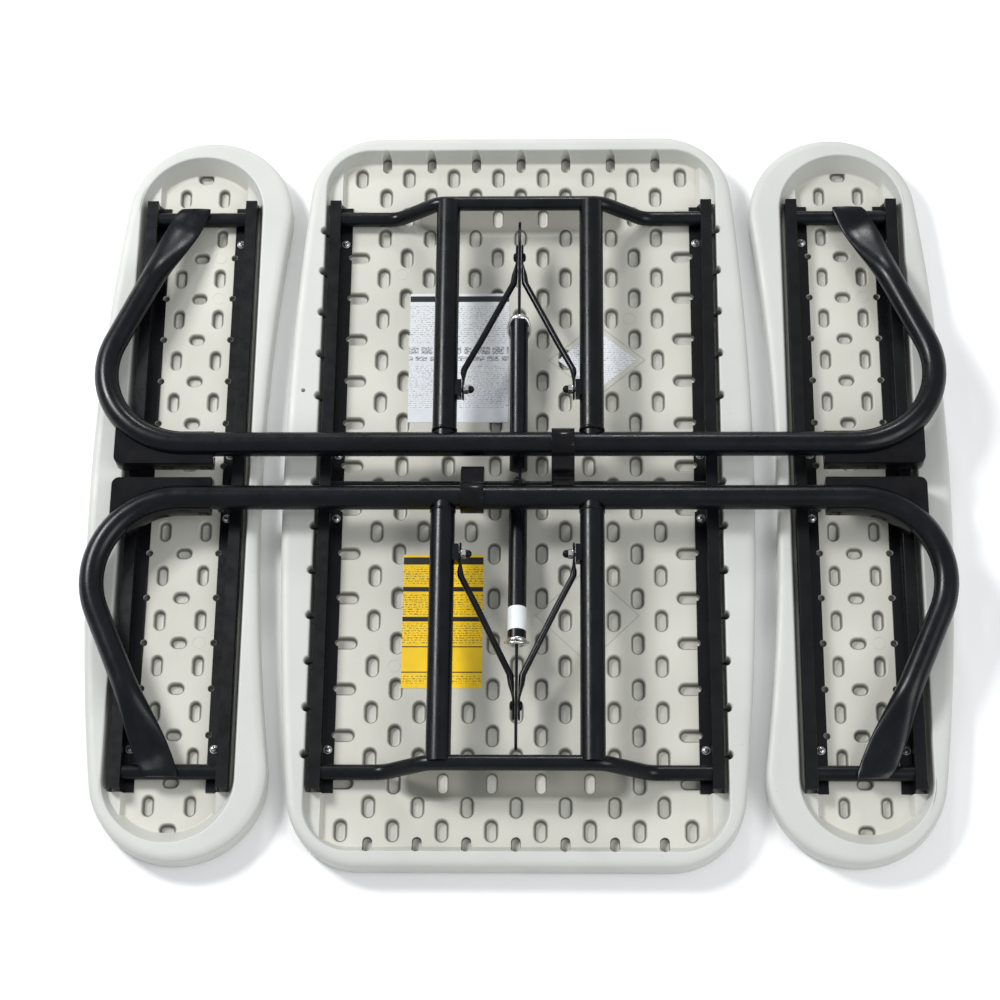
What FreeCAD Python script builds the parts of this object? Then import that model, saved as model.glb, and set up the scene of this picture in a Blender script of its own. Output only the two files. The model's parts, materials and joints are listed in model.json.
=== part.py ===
import FreeCAD, Part
import Sketcher
import math
import os
import re
from FreeCAD import Placement, Rotation, Vector

# Folding picnic table for children, folded flat. It lies on its tabletop: the face of the tabletop is the
# plane Z = 0, +X runs across the two benches, +Y runs along the tabletop and +Z points away from it.
# Leg frame A is on the +Y half; frame B is the same frame turned half a turn about Z.
# The ends of each frame's crossbars are its hinges, and every size below is in millimetres.

DIMENSIONS = {
    # tabletop panel
    "table_half_length": 413.0,
    "table_half_width": 247.0,
    "table_side_radius": 3470.0,
    "table_corner_radius": 76.0,
    "table_recess_half_width": 213.0,
    "table_recess_half_length": 396.0,
    "table_recess_corner": 48.0,
    # both kinds of panel
    "panel_height": 30.0,
    "recess_floor": 12.0,
    "face_round": 7.0,
    "rim_round": 4.0,
    # bench panels, bowed away from the tabletop
    "bench_centre": 361.0,
    "bench_half_width": 90.0,
    "bench_bow_radius": 2489.0,
    "bench_end_offset": 318.0,
    "bench_recess_centre": 350.0,
    "bench_recess_half_width": 66.0,
    "bench_recess_end": 312.0,
    # rails: a folded sheet channel with one flange on the recess floor
    "rail_half_length": 333.0,
    "rail_top": 32.0,
    "rail_cap_width": 12.0,
    "rail_flange_width": 12.0,
    "rail_sheet": 1.5,
    "rail_notch_radius": 3.5,
    "rail_notch_pitch": 49.5,
    "table_rail_face": 208.6,
    "bench_outer_rail_face": 409.9,
    "bench_inner_rail_face": 289.4,
    "screw_offset": 288.0,
    "screw_middle": 36.0,
    "screw_head_diameter": 9.0,
    "screw_head_height": 3.0,
    # hinge line of each leg frame and the crossbars that turn on it
    "pivot_offset": 314.0,
    "pivot_height": 22.0,
    "crossbar_diameter": 15.9,
    "crossbar_wall": 1.6,
    "crossbar_end_gap": 1.5,
    "pivot_clearance": 0.08,
    "joggle_start": 134.0,
    "joggle_end": 88.0,
    "joggle_radius": 26.0,
    # legs, all in one plane while folded
    "leg_plane": 58.0,
    "upright_offset": 77.0,
    "upright_diameter": 25.4,
    "upright_wall": 1.4,
    "upright_mouth": 47.0,
    "lug_length": 18.0,
    "lug_height": 14.0,
    "lug_thickness": 4.5,
    "collar_length": 3.0,
    "collar_diameter": 26.8,
    "inner_upright_diameter": 22.45,
    "inner_upright_wall": 1.4,
    "inner_upright_end": 293.0,
    "weld_gap": 0.3,
    # ground tube with its two arms
    "ground_offset": 30.0,
    "ground_diameter": 25.4,
    "ground_wall": 1.5,
    "arm_corner": 483.2,
    "arm_bend_radius": 88.0,
    "arm_end": 359.5,
    "paddle_width": 35.0,
    "paddle_thickness": 7.0,
    "paddle_length": 34.0,
    "paddle_weld": 0.8,
    "arm_crest_offset": 238.0,
    "arm_crest_height": 47.5,
    # feet and the clips that hold the folded legs to the centre rod
    "foot_sole": 8.0,
    "foot_inner_end": 318.0,
    "foot_outer_end": 422.0,
    "foot_low": 41.5,
    "foot_high": 60.5,
    "foot_round": 8.0,
    "rod_diameter": 6.0,
    "rod_end_gap": 1.0,
    "clip_offset": 47.0,
    "clip_width": 24.0,
    "clip_wall": 4.0,
    "clip_clearance": 0.4,
    "clip_web_low": 14.0,
    "clip_web_high": 5.0,
    "clip_stem_top": 6.0,
    # centre brace, its struts and lock ring
    "strut_pivot_offset": 92.6,
    "brace_length": 254.0,
    "brace_diameter": 19.0,
    "brace_wall": 1.5,
    "brace_tube_start": 15.0,
    "brace_tube_end": 183.0,
    "brace_plug": 8.0,
    "brace_eye_middle": 12.0,
    "brace_eye_length": 38.0,
    "brace_eye_width": 14.0,
    "bar_inside": 25.0,
    "bar_taper_start": 266.0,
    "bar_shoulder": 295.0,
    "bar_tip_height": 5.0,
    "brace_tip": 299.0,
    "bar_thickness": 3.0,
    "bar_height": 15.0,
    "tab_gap": 0.3,
    "strut_diameter": 8.0,
    "strut_plate_thickness": 2.5,
    "strut_plate_width": 13.0,
    "strut_plate_length": 34.0,
    "strut_eye_thickness": 2.5,
    "strut_eye_length": 28.0,
    "strut_eye_middle": 5.0,
    "strut_rod_start": 15.0,
    "strut_rod_end": 13.0,
    "strut_rod_sunk": 0.4,
    "rivet_diameter": 10.0,
    "rivet_height": 2.8,
    "bolt_diameter": 6.0,
    "nut_diameter": 11.0,
    "nut_height": 4.5,
    "cap_diameter": 8.4,
    "cap_height": 5.7,
    "cap_round": 3.4,
    "ring_length": 9.0,
    "ring_wall": 2.2,
    # thin labels on the recess floor
    "label_thickness": 0.4,
}

doc = FreeCAD.newDocument("FoldingPicnicTable")
size = doc.addObject("Spreadsheet::Sheet", "Size")
for row, (alias, value) in enumerate(DIMENSIONS.items(), start=1):
    size.set(f"A{row}", alias.replace("_", " "))
    size.set(f"B{row}", str(value))
    size.setAlias(f"B{row}", alias)
doc.recompute()

subparts = []


def mm(expression):
    """The value of an expression in the sheet's aliases, in millimetres."""
    return float(size.evalExpression(expression))


def keep(obj, label, placement=None):
    """Name an object as a sub-part, put it in place and list it for export."""
    obj.Label = label
    if placement is not None:
        obj.Placement = placement
    subparts.append(obj)
    return obj


def keep_shape(shape, label, placement=None):
    """A sub-part whose shape is made with Part's own functions."""
    feature = doc.addObject("Part::Feature", "Shape_" + label)
    feature.Shape = shape
    return keep(feature, label, placement or Placement())


def origin_plane(body, role):
    """The origin plane of a body that has this role."""
    return next(f for f in body.Origin.OriginFeatures if f.Role == role)


def new_body(label):
    return doc.addObject("PartDesign::Body", "Body_" + label)


def new_sketch(body, name, role, offset=0.0):
    """A sketch on one of the body's own origin planes, moved along the plane's normal."""
    sketch = body.newObject("Sketcher::SketchObject", name)
    sketch.AttachmentSupport = (origin_plane(body, role), "")
    sketch.MapMode = "FlatFace"
    sketch.AttachmentOffset = Placement(Vector(0, 0, offset), Rotation())
    return sketch


def bound_polygon(sketch, corners):
    """A closed polygon whose corners are pairs of expressions, each bound to the sheet."""
    points = [Vector(mm(x), mm(y), 0) for x, y in corners]
    count = len(points)
    for i in range(count):
        sketch.addGeometry(Part.LineSegment(points[i], points[(i + 1) % count]))
    for i in range(count):
        sketch.addConstraint(Sketcher.Constraint("Coincident", i, 2, (i + 1) % count, 1))
    for i, (x, y) in enumerate(corners):
        for axis, text in (("DistanceX", x), ("DistanceY", y)):
            index = sketch.addConstraint(Sketcher.Constraint(axis, i, 1, mm(text)))
            name = f"{axis[-1].lower()}{i}"
            sketch.renameConstraint(index, name)
            sketch.setExpression(f"Constraints.{name}", with_sheet(text))


def with_sheet(expression):
    """The same expression for use outside the sheet, where each alias needs the sheet's name."""
    return re.sub(r"[a-z][a-z_]+", lambda word: "Size." + word.group(), expression)


def bound_circle(sketch, x, y, radius):
    """A circle whose centre and radius are expressions bound to the sheet."""
    index = sketch.addGeometry(Part.Circle(Vector(mm(x), mm(y), 0), Vector(0, 0, 1), mm(radius)))
    for kind, name, text in (("DistanceX", "x", x), ("DistanceY", "y", y)):
        number = sketch.addConstraint(Sketcher.Constraint(kind, index, 3, mm(text)))
        sketch.renameConstraint(number, f"{name}{index}")
        sketch.setExpression(f"Constraints.{name}{index}", with_sheet(text))
    number = sketch.addConstraint(Sketcher.Constraint("Radius", index, mm(radius)))
    sketch.renameConstraint(number, f"radius{index}")
    sketch.setExpression(f"Constraints.radius{index}", with_sheet(radius))


def fixed_outline(sketch, edges):
    """Outline of arcs and lines, worked out from the sheet's values and held in place."""
    for edge in edges:
        index = sketch.addGeometry(edge)
        sketch.addConstraint(Sketcher.Constraint("Block", index))


def pad(body, sketch, length, midplane=False):
    feature = body.newObject("PartDesign::Pad", "Pad")
    feature.Profile = sketch
    feature.SideType = "Symmetric" if midplane else "One side"
    feature.setExpression("Length", with_sheet(length))
    doc.recompute()
    return feature


def pocket(body, sketch, length, reverse=False, midplane=False):
    """A pocket that is checked to remove material."""
    before = body.Shape.Volume
    feature = body.newObject("PartDesign::Pocket", "Pocket")
    feature.Profile = sketch
    feature.Reversed = reverse
    feature.SideType = "Symmetric" if midplane else "One side"
    feature.setExpression("Length", with_sheet(length))
    doc.recompute()
    if body.Shape.Volume >= before:
        raise RuntimeError(f"{body.Name}: the pocket cuts nothing")
    return feature


def fillet(body, base, radius, chosen):
    """Round the edges of the base feature for which chosen(edge) is true."""
    names = [f"Edge{i}" for i, e in enumerate(base.Shape.Edges, start=1) if chosen(e)]
    feature = body.newObject("PartDesign::Fillet", "Fillet")
    feature.Base = (base, names)
    feature.setExpression("Radius", with_sheet(radius))
    doc.recompute()
    return feature


def flat_at(height):
    """A test for edges that lie whole at one height."""
    return lambda e: abs(e.BoundBox.ZMin - height) < 0.01 and abs(e.BoundBox.ZMax - height) < 0.01


def arc(centre, radius, start, end):
    """An arc in the sketch plane, angles in degrees, counter-clockwise."""
    circle = Part.Circle(Vector(*centre, 0), Vector(0, 0, 1), radius)
    return Part.ArcOfCircle(circle, math.radians(start), math.radians(end))


def line(start, end):
    return Part.LineSegment(Vector(*start, 0), Vector(*end, 0))


def rounded_rectangle(half_x, half_y, radius):
    """Lines and corner arcs of a rounded rectangle about the origin."""
    x, y = half_x - radius, half_y - radius
    return [
        line((half_x, -y), (half_x, y)),
        arc((x, y), radius, 0, 90),
        line((x, half_y), (-x, half_y)),
        arc((-x, y), radius, 90, 180),
        line((-half_x, y), (-half_x, -y)),
        arc((-x, -y), radius, 180, 270),
        line((-x, -half_y), (x, -half_y)),
        arc((x, -y), radius, 270, 360),
    ]


def tabletop_outline():
    """Straight ends, slightly bowed long sides and large round corners."""
    half_width, half_length = mm("table_half_width"), mm("table_half_length")
    bow, corner = mm("table_side_radius"), mm("table_corner_radius")
    # a corner's centre is a corner radius inside both the end line and the bowed side
    centre_y = half_length - corner
    inset = bow - corner
    centre_x = math.sqrt(inset**2 - centre_y**2) - (bow - half_width)
    lean = math.degrees(math.asin(centre_y / inset))
    edges = []
    for turn, side in ((0, 1), (180, -1)):
        side_centre = (-side * (bow - half_width), 0)
        edges.append(arc(side_centre, bow, turn - lean, turn + lean))
        edges.append(arc((side * centre_x, side * centre_y), corner, turn + lean, turn + 90))
        edges.append(arc((side * centre_x, -side * centre_y), corner, turn - 90, turn - lean))
        edges.append(line((side * centre_x, side * half_length), (-side * centre_x, side * half_length)))
    return edges


def bench_outline(side):
    """A strip of constant width along an arc that bows away from the tabletop, with half-round ends."""
    bow, half_width = mm("bench_bow_radius"), mm("bench_half_width")
    centre = (-side * (bow - mm("bench_centre")), 0)
    lean = math.degrees(math.asin(mm("bench_end_offset") / bow))
    turn = 0 if side > 0 else 180
    edges = [arc(centre, bow + half_width, turn - lean, turn + lean)]
    edges.append(arc(centre, bow - half_width, turn - lean, turn + lean))
    for end in (-1, 1):
        angle = math.radians(turn + end * lean)
        tip = (centre[0] + bow * math.cos(angle), bow * math.sin(angle))
        middle = math.degrees(angle) + end * 90
        edges.append(arc(tip, half_width, middle - 90, middle + 90))
    return edges


def bench_recess(side):
    """A straight slot between and around the bench rails."""
    x = side * mm("bench_recess_centre")
    half, end = mm("bench_recess_half_width"), mm("bench_recess_end")
    return [
        line((x + half, -end), (x + half, end)),
        arc((x, end), half, 0, 180),
        line((x - half, end), (x - half, -end)),
        arc((x, -end), half, 180, 360),
    ]


def make_panel(label, outline, recess):
    """A moulded panel: rounded at its face and its rim, hollowed from the back."""
    body = new_body(label)
    base = new_sketch(body, "Outline", "XY_Plane")
    fixed_outline(base, outline)
    slab = pad(body, base, "panel_height")
    faced = fillet(body, slab, "face_round", flat_at(0))
    rimmed = fillet(body, faced, "rim_round", flat_at(mm("panel_height")))
    hollow = new_sketch(body, "Recess", "XY_Plane", mm("panel_height"))
    fixed_outline(hollow, recess)
    pocket(body, hollow, "panel_height - recess_floor")
    body.Tip = body.Group[-1]
    return keep(body, label)


def make_rail(label, outer_wall, inward, holes):
    """A rail along Y: outer wall, cap, inner wall and a notched flange on the recess floor.

    It is drawn with its outer wall at x = 0 and its flange towards +x, and turned round where inward is -1.
    """
    body = new_body(label)
    profile = new_sketch(body, "Profile", "XZ_Plane")
    flange_edge = "rail_cap_width + rail_flange_width"
    bound_polygon(
        profile,
        [
            ("0", "recess_floor"),
            ("0", "rail_top"),
            ("rail_cap_width", "rail_top"),
            ("rail_cap_width", "recess_floor + rail_sheet"),
            (flange_edge, "recess_floor + rail_sheet"),
            (flange_edge, "recess_floor"),
            ("rail_cap_width - rail_sheet", "recess_floor"),
            ("rail_cap_width - rail_sheet", "rail_top - rail_sheet"),
            ("rail_sheet", "rail_top - rail_sheet"),
            ("rail_sheet", "recess_floor"),
        ],
    )
    pad(body, profile, "2 * rail_half_length", midplane=True)
    bore = new_sketch(body, "Bores", "YZ_Plane", mm("rail_cap_width + rail_sheet"))
    for y, radius in holes:
        bound_circle(bore, y, "pivot_height", radius)
    pocket(body, bore, "2.5 * rail_sheet")
    notch = new_sketch(body, "Notch", "XY_Plane", mm("recess_floor + 2 * rail_sheet"))
    bound_circle(notch, flange_edge, "-5.5 * rail_notch_pitch", "rail_notch_radius")
    first = pocket(body, notch, "3 * rail_sheet")
    row = body.newObject("PartDesign::LinearPattern", "Notches")
    row.Originals = [first]
    row.Direction = (origin_line(body, "Y_Axis"), [""])
    row.setExpression("Length", with_sheet("11 * rail_notch_pitch"))
    row.Occurrences = 12
    body.Tip = row
    turn = Rotation(Vector(0, 0, 1), 0 if inward > 0 else 180)
    return keep(body, label, Placement(Vector(outer_wall, 0, 0), turn))


def origin_line(body, role):
    """The origin axis of a body that has this role."""
    return next(f for f in body.Origin.OriginFeatures if f.Role == role)


def rounded_path(corners, radius):
    """Straight runs joined by tangent arcs of one radius."""
    edges = []
    start = corners[0]
    for before, corner, after in zip(corners, corners[1:], corners[2:]):
        back = (before - corner).normalize()
        ahead = (after - corner).normalize()
        half_turn = (math.pi - back.getAngle(ahead)) / 2
        reach = radius * math.tan(half_turn)
        enter, leave = corner + back * reach, corner + ahead * reach
        middle = (back + ahead).normalize()
        deep = corner + middle * (radius / math.cos(half_turn) - radius)
        edges.append(Part.LineSegment(start, enter).toShape())
        edges.append(Part.Arc(enter, deep, leave).toShape())
        start = leave
    edges.append(Part.LineSegment(start, corners[-1]).toShape())
    return Part.Wire(edges)


def swept_rod(path, radius):
    """A round solid along a wire of tangent edges."""
    edge = path.Edges[0]
    start = edge.Vertexes[0].Point
    along = (edge.Vertexes[1].Point - start).normalize()
    ring = Part.Wire(Part.makeCircle(radius, start, along))
    return path.makePipeShell([ring], True, True)


def tube(start, end, radius, wall=0.0):
    """A straight round tube, or a rod where wall is 0."""
    run = end - start
    outer = Part.makeCylinder(radius, run.Length, start, run)
    if wall:
        outer = outer.cut(Part.makeCylinder(radius - wall, run.Length, start, run))
    return outer


def bound_cylinder(name, radius, height, start, along):
    """A cylinder from a point along a direction, its radius and height bound to the sheet."""
    cylinder = doc.addObject("Part::Cylinder", name)
    cylinder.setExpression("Radius", with_sheet(radius))
    cylinder.setExpression("Height", with_sheet(height))
    cylinder.Placement = Placement(start, Rotation(Vector(0, 0, 1), along))
    return cylinder


def cut_from(base, tool, name):
    """The base less the tool, as an object of the document."""
    cut = doc.addObject("Part::Cut", name)
    cut.Base = base
    cut.Tool = tool
    return cut


def bound_tube(name, radius, wall, length, start, along):
    """A straight tube made of two bound cylinders."""
    outer = bound_cylinder("Outer_" + name, radius, length, start, along)
    bore = bound_cylinder("Bore_" + name, f"{radius} - ({wall})", length, start, along)
    return cut_from(outer, bore, "Tube_" + name)


def block(low, high):
    """A box between two corners."""
    return Part.makeBox(high[0] - low[0], high[1] - low[1], high[2] - low[2], Vector(*low))


def oriented_slot(centre, length, width, thickness, direction):
    """A plate with round ends, thick along X, round a centre and long along a direction in the YZ plane."""
    half = length / 2 - width / 2
    middle = Part.makeBox(thickness, 2 * half, width, Vector(-thickness / 2, -half, -width / 2))
    for y in (-half, half):
        end = Part.makeCylinder(width / 2, thickness, Vector(-thickness / 2, y, 0), Vector(1, 0, 0))
        middle = middle.fuse(end)
    angle = math.degrees(math.atan2(direction.z, direction.y))
    middle = middle.removeSplitter()
    middle.Placement = Placement(centre, Rotation(Vector(1, 0, 0), angle))
    return middle


# ---- tabletop, benches and their rails ----


def screws(places, base):
    """Dome-headed screws standing on the rail flanges."""
    radius, height = mm("screw_head_diameter") / 2, mm("screw_head_height")
    dome = (radius**2 + height**2) / (2 * height)
    heads = []
    for x, y in places:
        head = Part.makeCylinder(radius, height, Vector(x, y, base))
        cap = Part.makeSphere(dome, Vector(x, y, base + height - dome))
        heads.append(head.common(cap))
    return Part.makeCompound(heads)


flange_top = mm("recess_floor + rail_sheet")
flange_middle = mm("rail_cap_width + rail_flange_width * 0.45")
pivots = [("pivot_offset", "crossbar_diameter / 2 + pivot_clearance")]
pivots.append(("-pivot_offset", pivots[0][1]))
rod_bore = [("0", "rod_diameter / 2 + 0.01")]
screw_rows = [-mm("screw_offset"), -mm("screw_middle"), mm("screw_middle"), mm("screw_offset")]

table_recess = rounded_rectangle(
    mm("table_recess_half_width"), mm("table_recess_half_length"), mm("table_recess_corner")
)
make_panel("tabletop_panel", tabletop_outline(), table_recess)
for name, side in (("left", -1), ("right", 1)):
    make_rail(f"table_rail_{name}", side * mm("table_rail_face"), -side, pivots + rod_bore)
    make_panel(f"bench_{name}_panel", bench_outline(side), bench_recess(side))
    make_rail(f"bench_{name}_outer_rail", side * mm("bench_outer_rail_face"), -side, pivots)
    make_rail(f"bench_{name}_inner_rail", side * mm("bench_inner_rail_face"), side, pivots)
    lines = (mm("bench_outer_rail_face") - flange_middle, mm("bench_inner_rail_face") + flange_middle)
    bench_places = [(side * x, y) for x in lines for y in screw_rows]
    keep_shape(screws(bench_places, flange_top), f"bench_{name}_screws")

table_line = mm("table_rail_face") - flange_middle
table_places = [(side * table_line, y) for side in (-1, 1) for y in screw_rows]
keep_shape(screws(table_places, flange_top), "table_screws")

rod_length = "2 * (table_rail_face - rail_sheet - rod_end_gap)"
rod_start = Vector(-mm(rod_length) / 2, 0, mm("pivot_height"))
rod = bound_cylinder("Rod", "rod_diameter / 2", rod_length, rod_start, Vector(1, 0, 0))
keep(rod, "centre_rod", rod.Placement)

LABELS = {
    "instruction_label": (-119, 75, 107, 153),
    "warning_label": (-119, -222, 83, 146),
}
for name, (low_x, low_y, width, length) in LABELS.items():
    label = doc.addObject("Part::Box", "Box_" + name)
    label.Length = width
    label.Width = length
    label.setExpression("Height", "Size.label_thickness")
    keep(label, name, Placement(Vector(low_x, low_y, mm("recess_floor")), Rotation()))


# ---- one leg frame, drawn on the +Y half ----

pivot_y, pivot_z = mm("pivot_offset"), mm("pivot_height")
leg_z = mm("leg_plane")
ground_y = mm("ground_offset")
bar_radius = mm("crossbar_diameter / 2")
ground_radius = mm("ground_diameter / 2")


def top_crossbar():
    """A tube hinged in the table rails, raised between the rails to the plane of the legs."""
    end_x = mm("table_rail_face - rail_sheet - crossbar_end_gap")
    outer_x, inner_x = mm("joggle_start"), mm("joggle_end")
    corners = [(-end_x, pivot_z), (-outer_x, pivot_z), (-inner_x, leg_z)]
    corners += [(-x, z) for x, z in reversed(corners)]
    path = rounded_path([Vector(x, pivot_y, z) for x, z in corners], mm("joggle_radius"))
    return path, swept_rod(path, bar_radius).cut(swept_rod(path, bar_radius - mm("crossbar_wall")))


def outer_upright(name, x, crossbar):
    """The upper half of a telescoping leg, cut to fit round the crossbar it is welded to."""
    run = bound_tube(
        name,
        "upright_diameter / 2",
        "upright_wall",
        "pivot_offset - upright_mouth",
        Vector(x, pivot_y, leg_z),
        Vector(0, -1, 0),
    )
    return cut_from(run, crossbar, "Fitted_" + name)


def collar(name, x):
    """The plastic guide on the mouth of an upright."""
    return bound_tube(
        name,
        "collar_diameter / 2",
        "(collar_diameter - upright_diameter) / 2 + upright_wall",
        "collar_length",
        Vector(x, mm("upright_mouth"), leg_z),
        Vector(0, -1, 0),
    )


def inner_upright(name, x):
    """The lower half of a telescoping leg, shaped round the ground tube it meets."""
    run = bound_tube(
        name,
        "inner_upright_diameter / 2",
        "inner_upright_wall",
        "inner_upright_end - ground_offset",
        Vector(x, ground_y, leg_z),
        Vector(0, 1, 0),
    )
    across = Vector(x - mm("ground_diameter"), ground_y, leg_z)
    weld = bound_cylinder(
        "Weld_" + name, "ground_diameter / 2 + weld_gap", "2 * ground_diameter", across, Vector(1, 0, 0)
    )
    return cut_from(run, weld, "Fitted_" + name)


def ground_tube(crossbars):
    """The ground tube: a straight foot run and an arm at each end that bends back to a bench crossbar.

    Each arm stays round and level until it has passed over the bench rail, and is pressed flat beyond that.
    """
    paddle_z = pivot_z + bar_radius + mm("paddle_thickness / 2 - paddle_weld")
    crests, bends, ends = [], [], []
    for side in (-1, 1):
        bend = Vector(side * mm("arm_corner"), ground_y, leg_z)
        end = Vector(side * mm("arm_end"), pivot_y, paddle_z)
        share = (mm("arm_crest_offset") - bend.y) / (end.y - bend.y)
        crest = Vector(bend.x + (end.x - bend.x) * share, mm("arm_crest_offset"), mm("arm_crest_height"))
        bends.append(bend)
        crests.append(crest)
        ends.append(paddle(crest, end, (bend - crest).normalize()))
    path = rounded_path([crests[0], bends[0], bends[1], crests[1]], mm("arm_bend_radius"))
    rod = swept_rod(path, ground_radius)
    bore = swept_rod(path, ground_radius - mm("ground_wall"))
    return rod.fuse(ends).cut(bore).cut(crossbars).removeSplitter(), rod


def paddle(crest, end, back):
    """A tube end pressed flat: a taper from round to oval, then a flat length cut off along the crossbar."""
    run = (crest - end).normalize()
    flat = end + Vector(run.x, run.y, 0).normalize() * mm("paddle_length / 2")
    level = (flat - end).normalize()
    across = Vector(0, 0, 1).cross(level)
    wide, thin = mm("paddle_width / 2"), mm("paddle_thickness / 2")
    taper = Part.makeLoft(
        [
            oval(crest, back, Vector(0, 0, 1).cross(back).normalize(), ground_radius, ground_radius),
            oval(flat, level, across, wide, thin),
        ],
        True,
        False,
    )
    beyond = end - level * mm("paddle_length")
    sections = [oval(place, level, across, wide, thin) for place in (flat, beyond)]
    run_out = Part.makeLoft(sections, True, True)
    edge_y = pivot_y + bar_radius
    far = mm("arm_corner")
    trim = block((-far, edge_y, 0), (far, edge_y + far, far))
    return taper.fuse(run_out.cut(trim))


def oval(centre, normal, across, half_width, half_height):
    """An ellipse whose long axis lies along across."""
    up = normal.cross(across).normalize()
    side, top = centre + across * half_width, centre + up * half_height
    if half_width == half_height:
        curve = Part.Circle(side, top, centre - across * half_width)
    else:
        curve = Part.Ellipse(side, top, centre)
    return Part.Wire(curve.toShape())


def bench_crossbar(name, x_sign):
    """A straight tube hinged in the two rails of a bench."""
    gap = mm("rail_sheet + crossbar_end_gap")
    start = Vector(x_sign * (mm("bench_inner_rail_face") + gap), pivot_y, pivot_z)
    return bound_tube(
        name,
        "crossbar_diameter / 2",
        "crossbar_wall",
        "bench_outer_rail_face - bench_inner_rail_face - 2 * (rail_sheet + crossbar_end_gap)",
        start,
        Vector(x_sign, 0, 0),
    )


def foot(x_sign, ground_rod):
    """A moulded foot under the bend of the ground tube, with a flat sole along the tube."""
    sole, low, high = mm("foot_sole"), mm("foot_low"), mm("foot_high")
    inner, outer, corner = mm("foot_inner_end"), mm("foot_outer_end"), mm("foot_round")
    bend, centre_y = mm("arm_bend_radius"), ground_y + mm("arm_bend_radius")
    arm_turn = math.atan2(pivot_y - ground_y, mm("arm_end - arm_corner"))
    centre_x = mm("arm_corner") - bend * math.tan(arm_turn / 2)
    wide, narrow = bend + ground_radius, bend - ground_radius - 1
    top_y = centre_y - math.sqrt(wide**2 - (outer - centre_x) ** 2)
    lean = math.atan2(outer - centre_x, centre_y - top_y)
    inside = Vector(centre_x + narrow * math.sin(lean), centre_y - narrow * math.cos(lean), low)
    under = Vector(centre_x, centre_y - narrow, low)
    half = Vector(centre_x + narrow * math.sin(lean / 2), centre_y - narrow * math.cos(lean / 2), low)
    diagonal = corner * (1 - math.sqrt(0.5))
    edges = [
        Part.LineSegment(Vector(inner, sole, low), Vector(outer - corner, sole, low)).toShape(),
        Part.Arc(
            Vector(outer - corner, sole, low),
            Vector(outer - diagonal, sole + diagonal, low),
            Vector(outer, sole + corner, low),
        ).toShape(),
        Part.LineSegment(Vector(outer, sole + corner, low), Vector(outer, top_y, low)).toShape(),
        Part.LineSegment(Vector(outer, top_y, low), inside).toShape(),
        Part.Arc(inside, half, under).toShape(),
        Part.LineSegment(under, Vector(inner, under.y, low)).toShape(),
        Part.LineSegment(Vector(inner, under.y, low), Vector(inner, sole, low)).toShape(),
    ]
    solid = Part.Face(Part.Wire(edges)).extrude(Vector(0, 0, high - low))
    if x_sign < 0:
        solid = solid.mirror(Vector(0, 0, 0), Vector(1, 0, 0))
    return largest(solid.cut(ground_rod))


def largest(shape):
    """The biggest solid of a shape."""
    return max(shape.Solids, key=lambda s: s.Volume)


def leg_clip():
    """A plastic clip round the ground tube whose open jaw drops over the centre rod."""
    x0 = mm("clip_offset - clip_width / 2")
    width, wall, gap = mm("clip_width"), mm("clip_wall"), mm("clip_clearance")
    jaw = mm("rod_diameter / 2") + gap
    along = Vector(1, 0, 0)
    ring = Part.makeCylinder(ground_radius + wall, width, Vector(x0, ground_y, leg_z), along)
    hook = Part.makeCylinder(jaw + wall, width, Vector(x0, 0, pivot_z), along)
    stem_top = (x0 + width, ground_y - ground_radius - 1, leg_z - mm("clip_stem_top"))
    stem = block((x0, -jaw - wall, pivot_z), stem_top)
    web = block((x0, 0, leg_z - mm("clip_web_low")), (x0 + width, ground_y, leg_z + mm("clip_web_high")))
    solid = ring.fuse([hook, stem, web])
    solid = solid.cut(Part.makeCylinder(ground_radius, width, Vector(x0, ground_y, leg_z), along))
    solid = solid.cut(Part.makeCylinder(jaw, width, Vector(x0, 0, pivot_z), along))
    return largest(solid.cut(block((x0, -jaw, 0), (x0 + width, jaw, pivot_z))))


def strut_bracket(x_sign):
    """A lug welded to the inner side of an upright."""
    axis_x = x_sign * mm("upright_offset")
    radius = mm("upright_diameter / 2")
    face, y = axis_x - x_sign * radius, mm("strut_pivot_offset")
    long, high, thick = mm("lug_length / 2"), mm("lug_height / 2"), mm("lug_thickness")
    ends = sorted((face - x_sign * thick, face + x_sign * thick))
    lug = block((ends[0], y - long, leg_z - high), (ends[1], y + long, leg_z + high))
    upright = tube(Vector(axis_x, 0, leg_z), Vector(axis_x, pivot_y, leg_z), radius)
    return largest(lug.cut(upright))


def lug_face():
    """How far the inner face of a lug is from the middle of the frame."""
    return mm("upright_offset - upright_diameter / 2 - lug_thickness")


def strut_bolt(x_sign):
    """The bolt that a strut turns on, with its nut and domed cap."""
    y = mm("strut_pivot_offset")
    nut_x = lug_face() - mm("strut_eye_thickness + 2 * tab_gap")
    inward = Vector(-x_sign, 0, 0)
    start, nut_start = Vector(x_sign * lug_face(), y, leg_z), Vector(x_sign * nut_x, y, leg_z)
    cap_start = nut_start + inward * mm("nut_height")
    shank = tube(start, cap_start, mm("bolt_diameter / 2"))
    nut = Part.Face(Part.makePolygon(hexagon(mm("nut_diameter / 2")))).extrude(Vector(0, 0, mm("nut_height")))
    nut.Placement = Placement(nut_start, Rotation(Vector(0, 0, 1), inward))
    cap = Part.makeCylinder(mm("cap_diameter / 2"), mm("cap_height"), cap_start, inward)
    rim = [e for e in cap.Edges if e.Closed and (e.CenterOfMass - cap_start).Length > mm("cap_height / 2")]
    return shank.fuse([nut, cap.makeFillet(mm("cap_round"), rim)])


def hexagon(radius):
    """The corners of a closed hexagon round the origin."""
    turns = [math.radians(60 * i) for i in range(7)]
    return [Vector(radius * math.cos(t), radius * math.sin(t), 0) for t in turns]


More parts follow.
